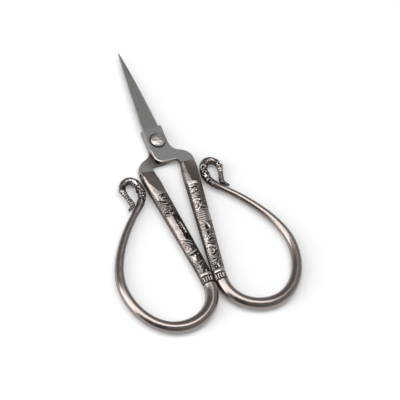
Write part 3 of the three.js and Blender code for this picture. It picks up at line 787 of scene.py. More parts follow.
# How far the ornament rises, 0 in the deepest recesses to 1 at the bar's own surface,
# and where it is rubbed bright, with painted highlights
def ornament(face, down, across, ringDown, relief):
    s = shankSettings
    raised, shine = np.zeros_like(down), np.zeros_like(down)
    gap = np.full(down.shape, farOff)  # to the rim of the nearest stroke or dome
    for halfWidth, points, *brightness in face["strokes"]:
        near = nearLine(down, across, flowing(points), halfWidth + s["moatReach"])
        near = np.maximum(near + s["wander"] * relief, 0.0)
        height = bulge(near / halfWidth)
        raised = np.maximum(raised, height)
        shine = np.maximum(shine, smooth(*s["crest"], height) * (brightness[0] if brightness else 1.0))
        gap = np.minimum(gap, near - halfWidth)
    for oval in face["domes"]:
        ratio = np.maximum(inOval(down, across, oval) + s["wander"] * relief / min(oval[2:4]), 0.0)
        raised = np.maximum(raised, bulge(ratio))
        shine = np.maximum(shine, smooth(*s["crest"], bulge(ratio)))
        gap = np.minimum(gap, (ratio - 1.0) * min(oval[2:4]))
    moatRise, moatFall = s["moatFades"]
    moat = s["moat"] * smooth(0.0, moatRise, gap) * smooth(s["moatReach"], moatFall, gap)
    leftAt, leftLevel, rightAt, rightLevel = columnsAt(down, face["ground"])
    ground = mixed(leftLevel, rightLevel, smooth(leftAt, rightAt, across))
    ground = mixed(1.0, ground, smooth(face["starts"], face["starts"] + s["startFades"][0], down))
    raised = np.maximum(raised, ground + s["unevenness"] * relief - moat)
    for start, end, left, right, level, brightness in face["panels"]:
        edge = s["panelEdge"]
        inside = within(start, end, edge, down) * within(left, right, edge, across)
        raised = np.maximum(raised, inside * (level + s["panelUneven"] * s["unevenness"] * relief))
        shine = np.maximum(shine, inside * brightness)
    for start, end, left, right, pitch, between, brightness in face["ribs"]:
        wave = np.abs(((down - start) / pitch) % 1.0 - 0.5) * 2.0
        inside = (down > start) & (down < end) & (across > left) & (across < right)
        raised = np.where(inside, mixed(between, 1.0, bulge(wave / s["ribWidth"])), raised)
        shine = np.where(inside, brightness * smooth(*s["ribShine"], wave), shine)
    for halfWidth, points in face["grooves"]:
        near = nearLine(down, across, flowing(points), halfWidth)
        raised = raised * smooth(s["grooveFloor"], 1.0, near / halfWidth)
    for oval in face["pits"]:
        raised = raised * smooth(s["pitFloor"], 1.0, inOval(down, across, oval))
    q = barSettings
    fadeIn, fadeOut = q["fades"]
    atBars = smooth(q["groundFrom"], q["groundFrom"] + fadeIn, ringDown)
    atBars = atBars * smooth(q["groundTo"] + fadeOut, q["groundTo"], ringDown)
    place = (across - face["barOffset"]) / q["pitch"]
    aside = ((place + 0.5) % 1.0 - 0.5) * q["pitch"]
    beyond = np.maximum(np.maximum(q["from"] - ringDown, ringDown - q["to"]), 0.0)
    bars = bulge(np.hypot(aside, beyond) / (q["pitch"] * q["width"] / 2))
    linkAt = np.where(np.floor(place) % 2 == 0, q["to"], q["from"])  # bars joined by turns below and above
    bars = np.maximum(bars, bulge((ringDown - linkAt) / q["link"]))
    raised = mixed(raised, np.maximum(bars, q["ground"]), atBars)
    shine = mixed(shine, q["brightness"] * smooth(*q["crest"], bars), atBars)
    for start, end in face["rings"]:
        middle, half = (start + end) / 2, (end - start) / 2
        ring = np.sqrt(bulge(np.abs(ringDown - middle) / half * s["ringFill"]))
        raised = np.maximum(raised, ring)
        shine = np.maximum(shine, face["ringShine"] * smooth(*s["ringCrest"], ring))
    return np.clip(raised, 0.0, 1.0), shine * face["shine"]


# The lower of two heights, rounded over where they cross
def softLower(a, b, k):
    h = np.clip(0.5 + 0.5 * (b - a) / k, 0.0, 1.0)
    return mixed(b, a, h) - k * h * (1.0 - h)


# The bar's middle line: straight, then bent into the foot
def shankCentre(down):
    s = shankSettings
    top, corner = np.array([s["topCentre"], s["lineTop"]]), np.array([s["footCentre"], s["corner"]])
    lean = (corner - top) / np.linalg.norm(corner - top)
    bendStart, foot = corner - lean * s["bend"], np.array([s["footCentre"], s["lineFoot"]])
    t = np.linspace(0.0, 1.0, s["bendSteps"])[:, None]
    bend = (1 - t) ** 2 * bendStart + 2 * t * (1 - t) * corner + t * t * foot
    above, below = s["beyond"]
    route = np.concatenate([[top - lean * above], [top], bend, [[foot[0], foot[1] + below]]])
    return np.interp(down, route[:, 1], route[:, 0])


# Height of the bar's surface at a place across it
def barHeight(across, halfWidth, halfHeight, power):
    return halfHeight * np.clip(1.0 - np.abs(across / halfWidth) ** power, 0.0, 1.0) ** (1.0 / power)


# Ground flat on the face that shows on the right half: level at the shoulder, rising to the crest
def rightFlat(down, across):
    s, q = shankSettings, flatSettings
    edge = columnsAt(down, q["rightEdge"])[0]
    height = s["plateTop"] + q["rightRise"] * (down - s["top"])
    tilt = q["rightTilt"] * (down - s["top"]) / q["rightLength"]
    end = q["rightEnd"][0] + q["rightEnd"][1] * np.maximum(across, 0.0)
    step, over = q["rightStep"]
    return height - tilt * (across - edge) + step * smooth(end, end + over, down)


# Deeper flat on the other face: it falls from the bar's edge to the mating side of the shoulder
def leftFlat(down, across, halfWidth, halfHeight, power):
    s, q = shankSettings, flatSettings
    edge = columnsAt(down, q["leftEdge"])[0]
    leftHeight = barHeight(edge, halfWidth, halfHeight, power)
    gone = np.clip((down - s["lineTop"]) / q["leftLength"], 0.0, q["leftMost"])
    rightHeight = mixed(s["plateUnder"], q["leftRise"], gone)
    flat = rightHeight + (leftHeight - rightHeight) * (q["leftReach"] - across) / (q["leftReach"] - edge)
    end = q["leftEnd"][0] + q["leftEnd"][1] * across
    step, over = q["leftStep"]
    return flat + step * smooth(end, end + over, down)


def shankMesh(name):
    s = shankSettings
    down = np.concatenate([np.linspace(s["top"], s["flatsTo"], s["flatRows"], endpoint=False),
                           np.linspace(s["flatsTo"], s["foot"], s["rows"])])[:, None]
    angle = np.linspace(0.0, 2 * math.pi, s["columns"], endpoint=False)[None, :]
    share = np.clip((down - s["lineTop"]) / (s["lineFoot"] - s["lineTop"]), 0.0, 1.0)
    swell = s["swell"] * smooth(*s["swells"], down)
    drawn = mixed(s["outerTop"] / (s["topWidth"] / 2), 1.0, smooth(s["top"], s["outerFull"], down))
    half = mixed(s["topWidth"], s["footWidth"], share) / 2
    inner = half + np.minimum(swell, mixed(s["swell"], s["innerFoot"], smooth(*s["innerFades"], down)))
    outer = half * drawn + swell
    power = mixed(s["square"], 2.0, smooth(s["top"], s["squareTo"], down))
    onOuter = np.cos(angle) > 0.0
    a = np.where(onOuter, outer, inner)
    b = mixed(s["topHeight"], s["footHeight"], share) / 2
    fullness = np.where(onOuter, 2.0 / power, 1.0)
    u = a * np.sign(np.cos(angle)) * np.abs(np.cos(angle)) ** fullness
    z = b * np.sign(np.sin(angle)) * np.abs(np.sin(angle)) ** fullness
    down = np.broadcast_to(down, u.shape)
    relief = patchyNoise(u.shape, s["reliefCells"], s["reliefSeed"])
    blotches = sum(part * patchyNoise(u.shape, cells, seed) for part, cells, seed in s["blotches"])
    blotches = np.clip(blotches + s["blotchRelief"] * relief, 0.0, 1.0)
    raised, shine, patina = np.zeros_like(u), np.zeros_like(u), np.zeros_like(u)
    for face, side in ((rightFace, 1.0), (leftFace, -1.0)):
        height, across, starts = z * side, u * side, face["starts"]
        seenDown = down - s["leanUp"] * (height - s["leanFrom"])
        seenAcross = across + s["leanOver"] * (height - s["leanFrom"])
        here, bright = ornament(face, seenDown, seenAcross, down, relief)
        here = np.maximum(here, smooth(*s["leftFade"], -across / a))
        here = np.maximum(here, smooth(*s["rightFade"], across / a))
        here = np.maximum(here, smooth(starts, starts - s["startFades"][1], seenDown))
        # painted highlight on the plain band above the ornament
        bright = mixed(face["bandHighlight"], bright, smooth(starts - s["startFades"][2], starts, seenDown))
        # painted shade along the bar's sides, joined with the random stains and tone; it goes into patina
        sideFrom, sideFull, sideShare = columnsAt(seenDown, face["side"])
        sideShadeAndStain = np.maximum(sideShare * smooth(sideFrom, sideFull, seenAcross),
                          s["sideShade"] * smooth(*s["sideFade"], across / a))
        sideShadeAndStain = np.maximum(sideShadeAndStain, face["tone"] + face["stain"] * blotches)
        raised = np.where(height > 0.0, here, raised)
        shine = np.where(height > 0.0, bright, shine)
        patina = np.where(height > 0.0, sideShadeAndStain, patina)
    raised = mixed(raised, s["footLevel"], smooth(*s["footFades"], down))
    sink = s["depth"] * (1.0 - raised)
    nx, nz = np.cos(angle) / a, np.sin(angle) / b
    length = np.hypot(nx, nz)
    across, height = u - nx / length * sink, z - nz / length * sink
    capTop = rightFlat(down, across)
    capUnder = leftFlat(down, -across, outer, b, power)
    onTop, onUnder = smooth(*s["onFlat"], height - capTop), smooth(*s["onFlat"], -height - capUnder)
    height = softLower(height, capTop, s["flatRound"])
    height = -softLower(-height, capUnder, s["flatRound"])
    # the flats' dark finish, with painted shade, fuller on the right face
    flat = np.clip(onTop * rightFace["flatShadeShare"] + onUnder * leftFace["flatShadeShare"], 0.0, 1.0)
    ground = np.clip(onTop + onUnder, 0.0, 1.0)
    edge = columnsAt(down, flatSettings["leftEdge"])[0]
    # painted shade along the edge of the deeper flat
    line = s["flatEdgeShade"] * onUnder * smooth(*s["flatEdgeShadeReach"], -across - edge)
    recess = np.maximum(smooth(*s["patina"], raised), patina) * (1.0 - ground) + line
    points = np.stack([shankCentre(down) + across, -down, height], -1)
    return skin(name, points, {
        "recess": np.clip(recess, 0.0, 1.0), "flat": flat, "cast": np.ones_like(u),
        "shine": shine * (1.0 - ground)})


handlePair("Shank", shankMesh, shankSettings["sharpAngle"])
print("shanks made")


# Curls: the rod's free end turned back on itself, with a collar, a coat of scales, an eye ring, bands
# and a flared tip

curlSettings = {
    "neck": bowSettings["neck"], "neckAngle": bowSettings["neckAngle"],  # where the bow's rod ends
    "side": (13.133, -17.2), "crown": (16.433, -12.2),
    "cheek": (19.733, -15.2), "beak": (18.45, -21.10), "tip": (20.77, -23.69), "flick": (1.0, -0.35),
    "roundness": 0.55, "rise": 5.0, "halfWidth": 3.3, "fall": 3.0,
    "radii": (1.275, 1.6, 1.42, 1.2, 0.86, 1.12, 0.42), "limbAt": 3.3, "tipRound": 0.4,
    "rows": 360, "columns": 96, "evenRows": 12, "thinnest": 0.02, "liftFrom": 0.5, "sharpAngle": 60.0,
    "rootDepth": 0.8, "rootRadius": 1.27, "rootEase": 2.5, "rootStep": 0.003,
    "neckDarkening": 0.45, "neckFades": (0.3, 3.2), "castFades": (0.3, 0.1),
    "coat": (4.7, 12.0), "coatSink": 0.14, "coatIn": (0.1, 0.3), "coatOut": (0.5, 0.1), "coatPatina": 0.95,
    "collar": 0.06, "collarBefore": 0.35, "collarHalf": 0.3, "collarShade": (0.5, 0.1),
    "reliefHeight": 0.24, "reliefPit": 0.2, "reliefMargin": 0.5, "crest": (0.5, 0.9), "pitEdge": 0.5,
    "outline": (0.32, 0.1), "outlinePatina": 0.95, "outlinedFrom": 0.5,
    "cleared": (0.25, 0.6), "clearPatina": 0.05,
    "eye": (-0.5, 0.7, 0.28), "eyeHeight": 0.2, "eyePit": 0.3, "underEye": 0.3, "eyePitFades": (0.05, 0.4),
    "eyeShade": (0.65, 0.3), "eyePatina": 0.9, "eyeClear": 0.3, "eyeShine": (0.3, 0.8),
    "comb": 0.4, "combAt": 0.1, "combSpread": (0.5, 0.5), "nub": 0.6, "nubAt": 0.2, "nubSpread": (0.6, 0.55),
    "bandIn": (0.6, 1.0), "bandOut": (0.9, 0.5), "bandPitch": 0.9, "bandWidth": 0.85, "bandHeight": 0.09,
    "bandSink": 0.8, "bandWander": 0.3, "bandPatina": (0.3, 0.7), "bandShade": (0.6, 0.05),
    "spotCells": (64, 14), "spotSeed": 9, "spotPatina": (0.45, 0.7), "mottle": 0.10, "wander": 0.06,
    "fleck": 0.55, "fleckSpan": (0.25, 0.75), "sideShade": 0.8, "sideFades": (0.55, 0.15),
}
# Relief of the curls, along them from the neck and round them from the middle of the face, in millimetres
# strokes: half width, height, brightness, points; domes: place, half length, half width, turn, brightness
# brightness: rubbed bright metal with a painted highlight
curlTop = {
    "strokes": [
        (0.22, 1.0, 0.7, [(7.7, -0.1), (8.4, -0.3), (9.2, -0.35), (9.9, -0.6)]),
        (0.24, 1.0, 0.9, [(11.0, -0.9), (11.5, -1.35), (12.3, -1.4), (12.9, -0.7), (12.9, 0.0), (12.3, 0.45),
                          (11.9, 0.0), (11.3, -0.55)]),
        (0.18, 1.0, 0.2, [(6.3, 0.3), (6.9, -0.2), (7.2, -0.6)]),
        (0.18, 1.0, 0.2, [(9.9, 0.4), (10.4, -0.1), (10.6, -0.7)]),
        (0.46, 0.1, 0.1, [(14.3, 0.1), (16.0, 0.1), (18.0, 0.0)]),
    ],
    "domes": [
        (5.5, -0.6, 0.75, 0.5, 0.0, 0.5), (7.3, -1.0, 0.4, 0.34, 0.0, 0.7),
        (8.6, -0.95, 0.7, 0.36, -8.0, 1.0), (22.3, -0.2, 0.3, 0.45, 0.0, 0.5),
        (25.0, 0.25, 0.35, 0.4, 0.0, 0.4), (26.5, 0.4, 0.35, 0.35, 0.0, 0.5),
        (27.6, 0.55, 0.3, 0.45, 0.0, 0.8),
    ],
    "pits": [(5.8, -0.7, 0.4, 0.24, 0.0), (12.25, -0.45, 0.4, 0.5, 0.0)],
}
curlUnder = {
    "strokes": [
        (0.62, 0.25, 0.75, [(12.4, 0.5), (13.2, 0.48), (14.0, 0.35)]),
        (0.46, 0.2, 0.6, [(14.0, 0.35), (15.2, 0.25), (16.4, 0.1), (17.4, 0.05)]),
        (0.16, 1.0, 0.1, [(7.0, -0.3), (6.6, -1.0), (6.4, -1.7)]),
        (0.16, 1.0, 0.1, [(8.3, 0.1), (7.9, -0.8), (7.7, -1.7)]),
        (0.16, 1.0, 0.1, [(9.5, -0.2), (9.2, -1.0), (9.0, -1.8)]),
        (0.16, 1.0, 0.1, [(11.0, 0.3), (10.8, -0.7), (10.6, -1.6)]),
        (0.18, 1.0, 0.2, [(6.0, 0.6), (8.0, 0.95), (10.0, 1.2)]),
    ],
    "domes": [
        (5.1, 0.1, 0.46, 0.36, 0.0, 1.0), (7.0, -0.2, 0.46, 0.34, 0.0, 1.0),
        (8.1, 0.3, 0.56, 0.32, 20.0, 0.9), (9.5, 0.05, 0.46, 0.36, 0.0, 0.9),
        (11.0, 0.6, 0.44, 0.42, 0.0, 1.0), (25.2, -0.4, 0.3, 0.3, 0.0, 0.5),
    ],
    "pits": [(12.9, 1.2, 0.55, 0.34, 0.0), (6.2, 0.1, 0.3, 0.3, 0.0), (10.2, 0.3, 0.3, 0.3, 0.0)],
}
scaleSettings = {
    "around": 7, "rows": 7, "start": 0.165, "end": 0.37, "halfLength": 0.55, "halfWidth": 0.34, "height": 0.2,
    "seat": -0.2, "tilt": 8.0, "seed": 11, "segments": 10, "rings": 6, "sizes": (0.6, 1.15),
    "swing": (-1.1, 1.1), "swingSeed": 20, "glint": (-0.2, 0.45), "glintSeed": 40, "pathSteps": 160,
    "footSpan": (0.1, 0.6), "footPatina": (0.95, 0.25), "steepSpan": (0.1, 0.5), "steepShade": (0.9, 0.0),
}


# The curl's line and the lengths at which its named points lie
def curlLine():
    s = curlSettings
    angle = math.radians(s["neckAngle"])
    named = ("neck", "side", "crown", "cheek", "beak", "tip")
    neck, side, crown, cheek, beak, tip = (np.array(s[k], float) for k in named)
    inward = np.array([math.cos(angle), math.sin(angle)])
    up, out, down = np.array([0.0, 1.0]), np.array([1.0, 0.0]), np.array([0.0, -1.0])
    third = np.linalg.norm(side - neck) / 3
    rise, aside, fall = (s[k] * s["roundness"] for k in ("rise", "halfWidth", "fall"))
    heading = (beak - cheek) / np.linalg.norm(beak - cheek)
    beakThird, tipThird = np.linalg.norm(beak - cheek) / 3, np.linalg.norm(tip - beak) / 3
    flick = np.array(s["flick"]) / np.linalg.norm(s["flick"])
    parts = [
        sweepPoints(neck, inward, third, side, up, third),
        sweepPoints(side, up, rise, crown, out, aside),
        sweepPoints(crown, out, aside, cheek, down, fall),
        sweepPoints(cheek, down, beakThird, beak, heading, beakThird),
        sweepPoints(beak, heading, tipThird, tip, flick, tipThird),
    ]
    line = np.concatenate([parts[0]] + [q[1:] for q in parts[1:]])
    gone = np.concatenate([[0.0], np.cumsum(np.linalg.norm(np.diff(line, axis=0), axis=1))])
    marks = [0.0]
    for q in parts:
        marks.append(marks[-1] + np.linalg.norm(np.diff(q, axis=0), axis=1).sum())
    return line, gone, marks


def curlRadius(along, marks):
    s = curlSettings
    places = [*marks[:4], marks[3] + s["limbAt"], *marks[4:]]
    return np.interp(along, places, s["radii"])


# How far the relief rises, where it is rubbed clean, where it is rubbed bright with painted highlights, its
# pits, and how near its outlines are
def curlRelief(face, along, aside, wander):
    s = curlSettings
    raised, cleared, shine, hollow = (np.zeros_like(aside) for k in range(4))
    gap = np.full(aside.shape, farOff)
    for halfWidth, rise, brightness, points in face["strokes"]:
        near = nearLine(along, aside, flowing(points), halfWidth + s["reliefMargin"])
        near = np.maximum(near + wander, 0.0)
        height = bulge(near / halfWidth)
        raised = np.maximum(raised, rise * height)
        cleared = np.maximum(cleared, height)
        shine = np.maximum(shine, brightness * smooth(*s["crest"], height))
        if rise > s["outlinedFrom"]:
            gap = np.minimum(gap, near - halfWidth)
    for *oval, brightness in face["domes"]:
        ratio = np.maximum(inOval(along, aside, oval) + wander / min(oval[2:4]), 0.0)
        cleared = np.maximum(cleared, bulge(ratio))
        raised = np.maximum(raised, bulge(ratio))
        shine = np.maximum(shine, brightness * smooth(*s["crest"], bulge(ratio)))
        gap = np.minimum(gap, (ratio - 1.0) * min(oval[2:4]))
    for oval in face["pits"]:
        hollow = np.maximum(hollow, smooth(1.0, s["pitEdge"], inOval(along, aside, oval)))
    return raised * (1.0 - hollow), cleared, shine * (1.0 - hollow), hollow, gap


# Rows along the curl: how far along, the middle, the way to the outside of the bend and the radius
def curlSpine(line, gone, marks):
    s = curlSettings
    along = np.concatenate([[-s["rootDepth"]], np.linspace(0.0, marks[-1], s["rows"] - 1)])
    centre = np.stack([np.interp(along, gone, line[:, k]) for k in (0, 1)], 1)
    neckAngle = math.radians(s["neckAngle"])
    centre[0] = line[0] - s["rootDepth"] * np.array([math.cos(neckAngle), math.sin(neckAngle)])
    tangent = np.gradient(centre, along, axis=0)
    tangent /= np.linalg.norm(tangent, axis=1)[:, None]
    outside = np.stack([-tangent[:, 1], tangent[:, 0]], 1)
    window = 2 * s["evenRows"] + 1
    radius = np.pad(curlRadius(along, marks), s["evenRows"], mode="reflect", reflect_type="odd")
    radius = np.convolve(radius, np.ones(window) / window, mode="valid")
    radius = mixed(s["radii"][0] + s["rootStep"], radius, smooth(0.0, s["rootEase"], along))
    radius[0] = s["rootRadius"]
    radius = radius * bulge(np.clip((along - marks[-1] + s["tipRound"]) / s["tipRound"], 0.0, 0.999))
    return along[:, None], centre, outside, radius[:, None]


def curlBody(name):
    s = curlSettings
    line, gone, marks = curlLine()
    sideAt, cheekAt, beakAt = marks[1], marks[3], marks[4]
    a, centre, outside, r = curlSpine(line, gone, marks)
    angle = np.linspace(0.0, 2 * math.pi, s["columns"], endpoint=False)[None, :]
    shape = (s["rows"], s["columns"])
    level = np.zeros(shape)
    # measured from the middle of the top or of the underside
    aside = np.where(np.sin(angle) >= 0.0, angle - math.pi / 2, 1.5 * math.pi - angle) * r
    spots = patchyNoise(shape, s["spotCells"], s["spotSeed"])
    coatFrom, coatTo = s["coat"]
    castIn, castFull = s["castFades"]
    cast = smooth(coatFrom - castIn, coatFrom + castFull, a) + level
    dark = cast * (s["spotPatina"][0] + s["spotPatina"][1] * spots)
    # darker from the neck on
    dark = np.maximum(dark, s["neckDarkening"] * smooth(*s["neckFades"], a))
    # sunk under the scales, with a collar before them
    coat = smooth(coatFrom - s["coatIn"][0], coatFrom + s["coatIn"][1], a)
    coat = coat * smooth(coatTo + s["coatOut"][0], coatTo - s["coatOut"][1], a) + level
    lift = -s["mottle"] * spots * cast - s["coatSink"] * coat
    dark = np.maximum(dark, s["coatPatina"] * coat)
    toCollar = a - coatFrom + s["collarBefore"]
    lift = lift + s["collar"] * (bulge(toCollar / s["collarHalf"]) + level)
    dark = np.maximum(dark, smooth(*s["collarShade"], np.abs(toCollar) - s["collarHalf"]) * cast)
    # relief of the two faces
    top = np.broadcast_to(np.sin(angle) >= 0.0, shape)
    lengthwise = np.broadcast_to(a, shape)
    faces = [curlRelief(relief, lengthwise, aside, s["wander"] * spots) for relief in (curlTop, curlUnder)]
    raised, cleared, bright, hollow, gap = (np.where(top, over, under) for over, under in zip(*faces))
    dark = np.maximum(dark, s["outlinePatina"] * cast * smooth(*s["outline"], gap))
    dark = mixed(dark, s["clearPatina"], smooth(*s["cleared"], cleared))
    dark = np.maximum(dark, hollow)
    lift = lift + s["reliefHeight"] * raised - s["reliefPit"] * hollow
    # eye: a ring with a pit in it
    eyeOffset, eyeSize, eyeWidth = s["eye"]
    around = np.hypot(a - cheekAt - eyeOffset, aside)
    eyeShare = np.where(top, 1.0, s["underEye"])
    ring = bulge((around - eyeSize) / eyeWidth) * eyeShare
    pit = smooth(eyeSize - s["eyePitFades"][0], eyeSize - s["eyePitFades"][1], around) * eyeShare
    shade = smooth(eyeSize + s["eyeShade"][0], eyeSize + s["eyeShade"][1], around) * s["eyePatina"]
    lift = lift + s["eyeHeight"] * ring - s["eyePit"] * pit
    dark = np.maximum(dark, np.maximum(pit, shade))
    dark = np.where(ring > s["eyeClear"], s["clearPatina"], dark)
    # a comb on the outside of the bend and a nub on the inside
    turn = (angle + math.pi) % (2 * math.pi) - math.pi
    combLong, combWide = s["combSpread"]
    lift = lift + s["comb"] * np.exp(-((a - cheekAt - s["combAt"]) / combLong) ** 2 - (turn / combWide) ** 2)
    inner = angle - math.pi
    nubLong, nubWide = s["nubSpread"]
    lift = lift + s["nub"] * np.exp(-((a - sideAt - s["nubAt"]) / nubLong) ** 2 - (inner / nubWide) ** 2)
    # bands on the outer limb
    banded = smooth(cheekAt + s["bandIn"][0], cheekAt + s["bandIn"][1], a)
    banded = banded * smooth(beakAt + s["bandOut"][0], beakAt + s["bandOut"][1], a) + level
    phase = (a - cheekAt) / s["bandPitch"] + s["bandWander"] * spots
    band = bulge((phase % 1.0 - 0.5) * 2.0 / s["bandWidth"])
    lift = lift + banded * s["bandHeight"] * (band - s["bandSink"])
    between = np.maximum(s["bandPatina"][0] + s["bandPatina"][1] * spots, smooth(*s["bandShade"], band))
    dark = mixed(dark, between, banded)
    # painted shade on the sides of the curl
    dark = np.maximum(dark, s["sideShade"] * cast * smooth(*s["sideFades"], np.abs(np.sin(angle))))
    # rubbed bright metal with painted highlights: the eye ring and random flecks
    shine = np.maximum(bright, smooth(*s["eyeShine"], ring))
    shine = np.maximum(shine, s["fleck"] * cast * smooth(*s["fleckSpan"], -spots))
    reach = np.maximum(r + lift * smooth(0.0, s["liftFrom"], r), s["thinnest"])
    flat = centre[:, None, :] + outside[:, None, :] * (np.cos(angle) * reach)[..., None]
    points = np.concatenate([flat, (np.sin(angle) * reach)[..., None]], -1)
    return skin(name, points, {
        "recess": np.clip(dark, 0.0, 1.0), "cast": np.clip(cast, 0.0, 1.0), "shine": shine})


# Scales set in staggered rows round the inner limb, each a flattened drop with its own turn and size
def scaleTree():
    q = scaleSettings
    tree, sockets = geometryTree("scaleCoat", {
        "Rows": "Int", "Start": "Float", "End": "Float", "Half Length": "Float", "Half Width": "Float",
        "Height": "Float", "Seat": "Float", "Tilt": "Float", "Seed": "Int", "Finish": "Material"}, "Scales")
    add, link = nodeAdder(tree), tree.links.new

    def vector(operation, *values):
        return add("ShaderNodeVectorMath", dict(enumerate(values)), operation=operation).outputs["Vector"]

    def scaled(direction, by):
        return add("ShaderNodeVectorMath", {0: direction, "Scale": by}, operation="SCALE").outputs["Vector"]

    def randomValue(ends, seed):
        node = add("FunctionNodeRandomValue", {2: ends[0], 3: ends[1], "Seed": seed}, data_type="FLOAT")
        return node.outputs[1]

    def named(label):
        return add("GeometryNodeInputNamedAttribute", {"Name": label}, data_type="FLOAT").outputs["Attribute"]

    def stored(geometry, label, value, domain="POINT"):
        return add("GeometryNodeStoreNamedAttribute", {"Geometry": geometry, "Name": label, "Value": value},
                   data_type="FLOAT", domain=domain).outputs["Geometry"]

    def turnedBy(rotation, axis, angle):
        turn = add("FunctionNodeAxisAngleToRotation", {"Axis": axis, "Angle": angle}).outputs[0]
        return add("FunctionNodeRotateRotation", {0: rotation, 1: turn}, rotation_space="LOCAL").outputs[0]

    given = add("NodeGroupInput").outputs
    upright = add("GeometryNodeSetCurveNormal", {"Curve": given["Path"]}, mode="Z_UP").outputs["Curve"]
    limb = add("GeometryNodeTrimCurve", {"Curve": upright}, mode="FACTOR")
    link(given["Start"], limb.inputs[2])
    link(given["End"], limb.inputs[3])
    stations = add("GeometryNodeCurveToPoints", {
        "Curve": limb.outputs["Curve"], "Count": given["Rows"]}, mode="COUNT").outputs
    ball = add("GeometryNodeMeshUVSphere", {
        "Segments": q["segments"], "Rings": q["rings"], "Radius": 1.0}).outputs["Mesh"]
    height = add("ShaderNodeSeparateXYZ", {0: add("GeometryNodeInputPosition").outputs[0]}).outputs["Z"]
    ball = stored(ball, "recess", ranged(add, height, q["footSpan"], q["footPatina"]))  # dark at its foot
    ball = stored(ball, "cast", 1.0)
    size = add("ShaderNodeCombineXYZ", {
        "X": given["Half Length"], "Y": given["Half Width"], "Z": given["Height"]})
    drop = add("GeometryNodeTransform", {"Geometry": ball, "Scale": size.outputs[0]}).outputs[0]
    sideways = vector("CROSS_PRODUCT", stations["Tangent"], stations["Normal"])
    odd = worked(add, "MODULO", add("GeometryNodeInputIndex").outputs[0], 2.0)
    seat = worked(add, "ADD", named("radius"), given["Seat"])
    joined = add("GeometryNodeJoinGeometry")
    count = q["around"]
    for k in range(count):
        turn = worked(add, "MULTIPLY_ADD", odd, math.pi / count, 2 * math.pi * k / count)
        outward = vector("ADD", scaled(stations["Normal"], worked(add, "COSINE", turn)),
                         scaled(sideways, worked(add, "SINE", turn)))
        placed = add("GeometryNodeSetPosition", {
            "Geometry": stations["Points"], "Offset": scaled(outward, seat)}).outputs[0]
        facing = add("FunctionNodeAxesToRotation", {0: outward, 1: stations["Tangent"]},
                     primary_axis="Z", secondary_axis="X").outputs[0]
        leant = turnedBy(facing, (0.0, 1.0, 0.0), given["Tilt"])
        turned = turnedBy(leant, (0.0, 0.0, 1.0), randomValue(q["swing"], k + q["swingSeed"]))
        scales = add("GeometryNodeInstanceOnPoints", {
            "Points": placed, "Instance": drop, "Rotation": turned,
            "Scale": randomValue(q["sizes"], given["Seed"])}).outputs[0]
        # painted glint: a random bright share on each scale
        glint = worked(add, "MAXIMUM", randomValue(q["glint"], k + q["glintSeed"]), 0.0)
        link(stored(scales, "shine", glint, "INSTANCE"), joined.inputs[0])
    real = add("GeometryNodeRealizeInstances", {"Geometry": joined.outputs[0]}).outputs[0]
    # painted shade on the scales' steep sides
    level = add("ShaderNodeSeparateXYZ", {0: add("GeometryNodeInputNormal").outputs[0]}).outputs["Z"]
    steep = ranged(add, worked(add, "ABSOLUTE", level), q["steepSpan"], q["steepShade"])
    real = stored(real, "recess", worked(add, "MAXIMUM", named("recess"), steep))
    soft = add("GeometryNodeSetShadeSmooth", {0: real}).outputs[0]
    dressed = add("GeometryNodeSetMaterial", {"Geometry": soft, "Material": given["Finish"]}).outputs[0]
    add("NodeGroupOutput", {0: dressed})
    return tree, sockets


def scaleMesh():
    q = scaleSettings
    line, gone, marks = curlLine()
    steps = np.linspace(0.0, marks[-1], q["pathSteps"])
    data = bpy.data.curves.new("curlPath", "CURVE")
    data.dimensions = "3D"
    spline = data.splines.new("POLY")
    spline.points.add(len(steps) - 1)
    for point, at in zip(spline.points, steps):
        point.co = (np.interp(at, gone, line[:, 0]), np.interp(at, gone, line[:, 1]), 0.0, 1.0)
        point.radius = curlRadius(at, marks)
    return meshFromTree("curlPath", data, scaleNodes, {
        "Rows": q["rows"], "Start": q["start"], "End": q["end"], "Half Length": q["halfLength"],
        "Half Width": q["halfWidth"], "Height": q["height"], "Seat": q["seat"],
        "Tilt": math.radians(q["tilt"]), "Seed": q["seed"], "Finish": handleFinish})


def curlMesh(name):
    bm = bmesh.new()
    for part in (curlBody(name + "Body"), scaleMesh()):
        bm.from_mesh(part)
    mesh = bpy.data.meshes.new(name)
    bm.to_mesh(mesh)
    bm.free()
    return mesh


scaleNodes = scaleTree()
handlePair("Curl", curlMesh, curlSettings["sharpAngle"])
print("curls made")


# Stage: pale floor, a soft light overhead and one on the left, grey room

stageSettings = {
    "floorSize": 6.0, "floorColour": (0.90, 0.90, 0.90, 1.0), "floorLift": 0.11,
    "floorCloud": 3.0, "floorPaler": 1.02,
    "softboxes": {  # centre, length, width, power
        "overheadSoftbox": ((-0.14, 0.055, 1.24), 1.65, 0.65, 10.58),
        "leftSoftbox": ((-1.05, 0.09, 0.58), 0.92, 0.75, 7.85),
    },
    "roomLight": 0.882, "room": (0.30, 0.30, 0.305, 1.0),
    "rightWall": (0.52, 0.515, 0.51, 1.0), "rightSpan": (0.1, 0.9),
    "leftWall": (0.95, 0.94, 0.93, 1.0), "leftSpan": (-0.6, -0.92), "leftHeight": (0.6, 0.25),
    "corner": (0.10, 0.10, 0.102, 1.0), "cornerTowards": (-0.62, -0.50, 0.60), "cornerSpan": (0.82, 0.96),
}


